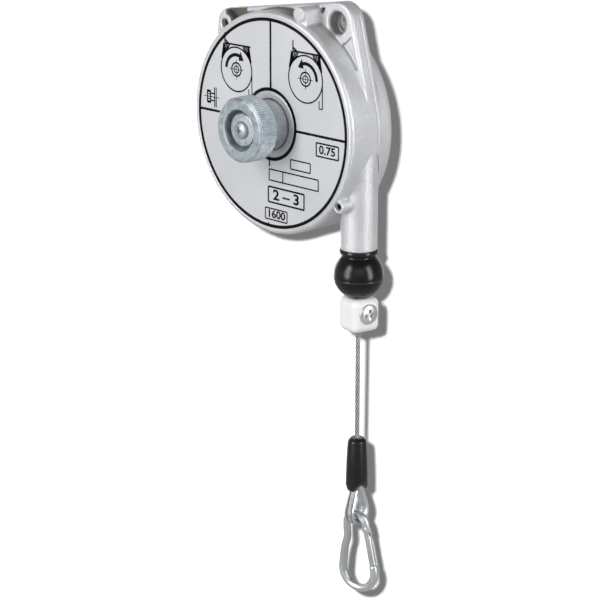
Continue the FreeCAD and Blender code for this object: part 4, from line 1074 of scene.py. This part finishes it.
def legBox(name, h, s, x0, x1, y0, y1, z0, z1):
    # box in the leg's own directions: x outward, y across the hook's plane, z up the leg
    centre, down, out = hookFrame(h, s)
    return stacked(name, [[hookPoint(centre + out * x - down * z, h, y)
                           for x, z in ((x0, z0), (x1, z0), (x1, z1), (x0, z1))] for y in (y0, y1)])


def crossRod(name, h, s, r, half):
    # rod across the hook's plane through the leg
    centre = hookFrame(h, s)[0]
    return stacked(name, [[hookPoint(centre + Vector(p), h, y) for p in circleLoop(q, 40)] for y, q in
                          ((-half, r * 0.85), (-half + r * 0.15, r), (half - r * 0.15, r), (half, r * 0.85))], True)


def makeHook(h):
    top, low, legs = hookLines(h)
    ra, rightTop, rightLow = legs["right"]
    la, leftTop, leftLow = legs["left"]
    begin, tip = hookFrame(h, h["gateTop"] + 1.6)[0], hookFrame(h, h["gateEnd"] - 3.2)[0]

    def bend(centre, r, start, sweepAngle, count):
        return [centre + spoke(start + sweepAngle * k / count, r) for k in range(count + 1)]

    path = [begin + (rightTop - begin) * k / 6 for k in range(6)] + bend(top, h["topR"], ra, la - ra, 28)
    path += [leftTop + (leftLow - leftTop) * k / 14 for k in range(1, 14)]
    path += bend(low, h["lowR"], la, 2 * pi - (la - ra), 44)
    path += [rightLow + (tip - rightLow) * k / 6 for k in range(1, 7)]
    # the wire is necked below the top bend and thickest in the lower one
    path = [p + Vector((h["neck"] * exp(-((i - 38.5) / 2.6) ** 2), 0)) for i, p in enumerate(path)]
    n = len(path)

    def section(i, t):
        r = h["r"] * (1 - 0.13 * exp(-((i - 37) / 9) ** 2) - 0.05 * exp(-((i - 20) / 10) ** 2))
        if i > n - 4:
            r = h["r"] * (1.0 - 0.02 * (i - (n - 4)) ** 2)
        return circleLoop(r, 28)
    body = sweep("hookBody", [hookPoint(p, h) for p in path], section)
    combine(body, [legBox("cheek", h, h["gateTop"], -3, 3, 0.75, 5, -2.4, 2.6),
                   legBox("cheek", h, h["gateTop"], -3, 3, -5, -0.75, -2.4, 2.6),
                   legBox("slot", h, h["gateEnd"] - 3.2, -4, 0.9, -0.9, 0.9, -3.6, 0.8)], "DIFFERENCE")
    return castSkin(body, 0.16, 3)


def makeGate(h):
    length, top = h["gateEnd"] - h["gateTop"], h["gateTop"]
    centre, down, _ = hookFrame(h, top)
    path = [hookPoint(centre + down * (s * (length - 3.6) / 10), h) for s in range(11)]
    gate = sweep("hookGate", path, lambda i, t: circleLoop(h["gateR"], 28))
    combine(gate, [crossRod("gateHead", h, top, h["gateR"] + 0.15, h["gateR"] - 0.1)])
    combine(gate, [legBox("fork", h, top, -5, 5, -0.9, 0.9, -2.9, 5)], "DIFFERENCE")
    combine(gate, [legBox("tongue", h, top, -h["gateR"], 0.6, -0.75, 0.75, -length + 0.2, -length + 4.5)])
    return castSkin(gate, 0.13, 2)


fit(makeHook(hookSet), "hook", "zincSteel", "zinc_steel", "hook_body")
fit(makeGate(hookSet), "gate", "zincSteel", "zinc_steel", "hook_gate")
fit(crossRod("gatePin", hookSet, hookSet["gateTop"], hookSet["pinR"], hookSet["gateR"] + 0.3), "hook", "zincSteel",
    "zinc_steel", "gate_pin")
print("hook made")

# light, floor and backdrop
# places are (left, towards the camera, up) in millimetres, as the camera sees them
lightSet = {"left": {"place": (760, 620, 110), "size": (0.34, 0.95), "power": 8.2},
            "right": {"place": (-770, 600, 60), "size": (0.30, 0.95), "power": 6.4},
            "front": {"place": (-60, 1050, 160), "size": (0.9, 0.6), "power": 1.1},
            "top": {"place": (60, 60, 800), "size": (0.5, 0.5), "power": 0.12},
            "rear": {"place": (250, -760, 240), "size": (0.6, 0.6), "power": 1.4}}
lightTarget = (20, 10, -70)
backdropSet = {"centre": (20, 10, -85), "behind": 300, "half": 1500, "fold": 320, "foot": -1950, "colour": 0.80,
               "lampLeft": 19.5, "lampUp": 14.4, "lampR": 5.0, "power": 88}
floorSet = {"z": -1960, "half": 6000, "colour": 0.85, "rough": 0.8, "mirrored": 0.3, "glow": 0.75}
worldSet = {"low": 0.20, "middle": 0.38, "high": 0.13, "side": 0.2}


def addLamp(name, s):
    data = bpy.data.lights.new(name, "AREA")
    data.shape, data.energy = "RECTANGLE", s["power"]
    data.size, data.size_y = s["size"]
    lamp = linked(name, data)
    left, near, up = s["place"]
    lamp.location = at(*(toCamera * near - viewRight * left + viewUp * up + Vector(lightTarget)))
    lamp.rotation_euler = (at(*lightTarget) - lamp.location).to_track_quat("-Z", "Y").to_euler()


def pathMask(tree, share):
    # 1 for rays from the camera or through glass, share for mirrored ones
    path = tree.nodes.new("ShaderNodeLightPath").outputs
    direct = math2(tree, "MAXIMUM", path["Is Camera Ray"], path["Is Transmission Ray"])
    return math2(tree, "MAXIMUM", direct, math2(tree, "MULTIPLY", path["Is Glossy Ray"], share))


def makeWorld(w):
    world = bpy.data.worlds.new("studio")
    world.use_nodes = True
    scene.world = world
    tree = world.node_tree
    tree.nodes.clear()
    coord = tree.nodes.new("ShaderNodeTexCoord").outputs["Generated"]

    def facing(direction, low, high):
        dot = addNode(tree, "ShaderNodeVectorMath", {0: coord, 1: tuple(direction)}, operation="DOT_PRODUCT")
        return ramped(tree, dot.outputs["Value"], low, high, interpolation_type="SMOOTHSTEP")

    ramp = addNode(tree, "ShaderNodeValToRGB", {0: facing((0, 0, 1), -1, 1)})
    elements = ramp.color_ramp.elements
    for element, position, level in zip(elements, (0.0, 1.0), (w["low"], w["high"])):
        element.position, element.color = position, (level, level, level * 1.02, 1)
    elements.new(0.5).color = (w["middle"], w["middle"], w["middle"] * 1.02, 1)
    leftward = math2(tree, "MULTIPLY", facing(-viewRight, -0.9, 0.7), 2 * w["side"])
    studio = addNode(tree, "ShaderNodeBackground", {"Color": ramp.outputs[0],
                                                    "Strength": math2(tree, "ADD", 1 - w["side"], leftward)})
    page = addNode(tree, "ShaderNodeBackground", {"Color": (1, 1, 1, 1)})
    mix = addNode(tree, "ShaderNodeMixShader", {0: pathMask(tree, facing(-toCamera, 0.6, 0.97)), 1: studio.outputs[0],
                                                2: page.outputs[0]})
    addNode(tree, "ShaderNodeOutputWorld", {"Surface": mix.outputs[0]})


def makeFloor(f):
    places = [at(x * f["half"], y * f["half"], f["z"]) for x, y in ((-1, -1), (1, -1), (1, 1), (-1, 1))]
    floor = newPiece("floor", places, [(0, 1, 2, 3)], smooth=False)
    mat, tree = newTree("paleFloor")
    shader = tree.nodes["Principled BSDF"]
    feed(tree, shader, {"Base Color": (f["colour"], f["colour"], f["colour"], 1), "Roughness": f["rough"]})
    strength = math2(tree, "MULTIPLY", pathMask(tree, f["mirrored"]), f["glow"])
    glow = addNode(tree, "ShaderNodeEmission", {"Strength": strength})
    add = addNode(tree, "ShaderNodeAddShader", {0: shader.outputs[0], 1: glow.outputs[0]})
    feed(tree, tree.nodes["Material Output"], {"Surface": add.outputs[0]})
    floor.data.materials.append(mat)


def makeBackdrop(b):
    # page behind the object that only takes its shadow; one-sided, and clear to all but the camera
    # it faces the camera, and hangs straight down below the fold so that the drawn-out rope stays clear of it
    centre = Vector(b["centre"]) - toCamera * b["behind"]
    fold = centre - viewUp * b["fold"]
    rows = (Vector((fold.x, fold.y, b["foot"])), fold, centre + viewUp * b["half"])
    mesh = bpy.data.meshes.new("backdrop")
    mesh.from_pydata([tuple(at(*(row + viewRight * x * b["half"]))) for row in rows for x in (-1, 1)], [],
                     [(0, 1, 3, 2), (2, 3, 5, 4)])
    wall = linked("backdrop", mesh)
    mat, tree = newTree("page")
    tree.nodes.remove(tree.nodes["Principled BSDF"])
    paper = addNode(tree, "ShaderNodeBsdfDiffuse", {"Color": (b["colour"], b["colour"], b["colour"], 1)})
    clear = tree.nodes.new("ShaderNodeBsdfTransparent")
    front = math2(tree, "SUBTRACT", 1.0, tree.nodes.new("ShaderNodeNewGeometry").outputs["Backfacing"])
    seen = math2(tree, "MULTIPLY", tree.nodes.new("ShaderNodeLightPath").outputs["Is Camera Ray"], front)
    mix = addNode(tree, "ShaderNodeMixShader", {0: seen, 1: clear.outputs[0], 2: paper.outputs[0]})
    feed(tree, tree.nodes["Material Output"], {"Surface": mix.outputs[0]})
    mesh.materials.append(mat)
    pageOnly, notPage = (bpy.data.collections.new(name) for name in ("pageOnly", "notPage"))
    for group in (pageOnly, notPage):
        group.objects.link(wall)
    data = bpy.data.lights.new("pageLamp", "POINT")
    data.energy, data.shadow_soft_size = b["power"], b["lampR"] / 1000
    lamp = linked("pageLamp", data)
    lamp.location = scene.camera.matrix_world.translation + (viewUp * b["lampUp"] - viewRight * b["lampLeft"]) / 1000
    lamp.light_linking.receiver_collection = pageOnly
    # the studio lamps leave the page alone
    notPage.collection_objects[0].light_linking.link_state = "EXCLUDE"
    for other in scene.collection.objects:
        if other.type == "LIGHT" and other is not lamp:
            other.light_linking.receiver_collection = notPage


for lampName, lampSet in lightSet.items():
    addLamp(lampName, lampSet)
makeWorld(worldSet)
makeFloor(floorSet)
makeBackdrop(backdropSet)
scene.view_settings.view_transform = "Standard"
print("light and floor set")
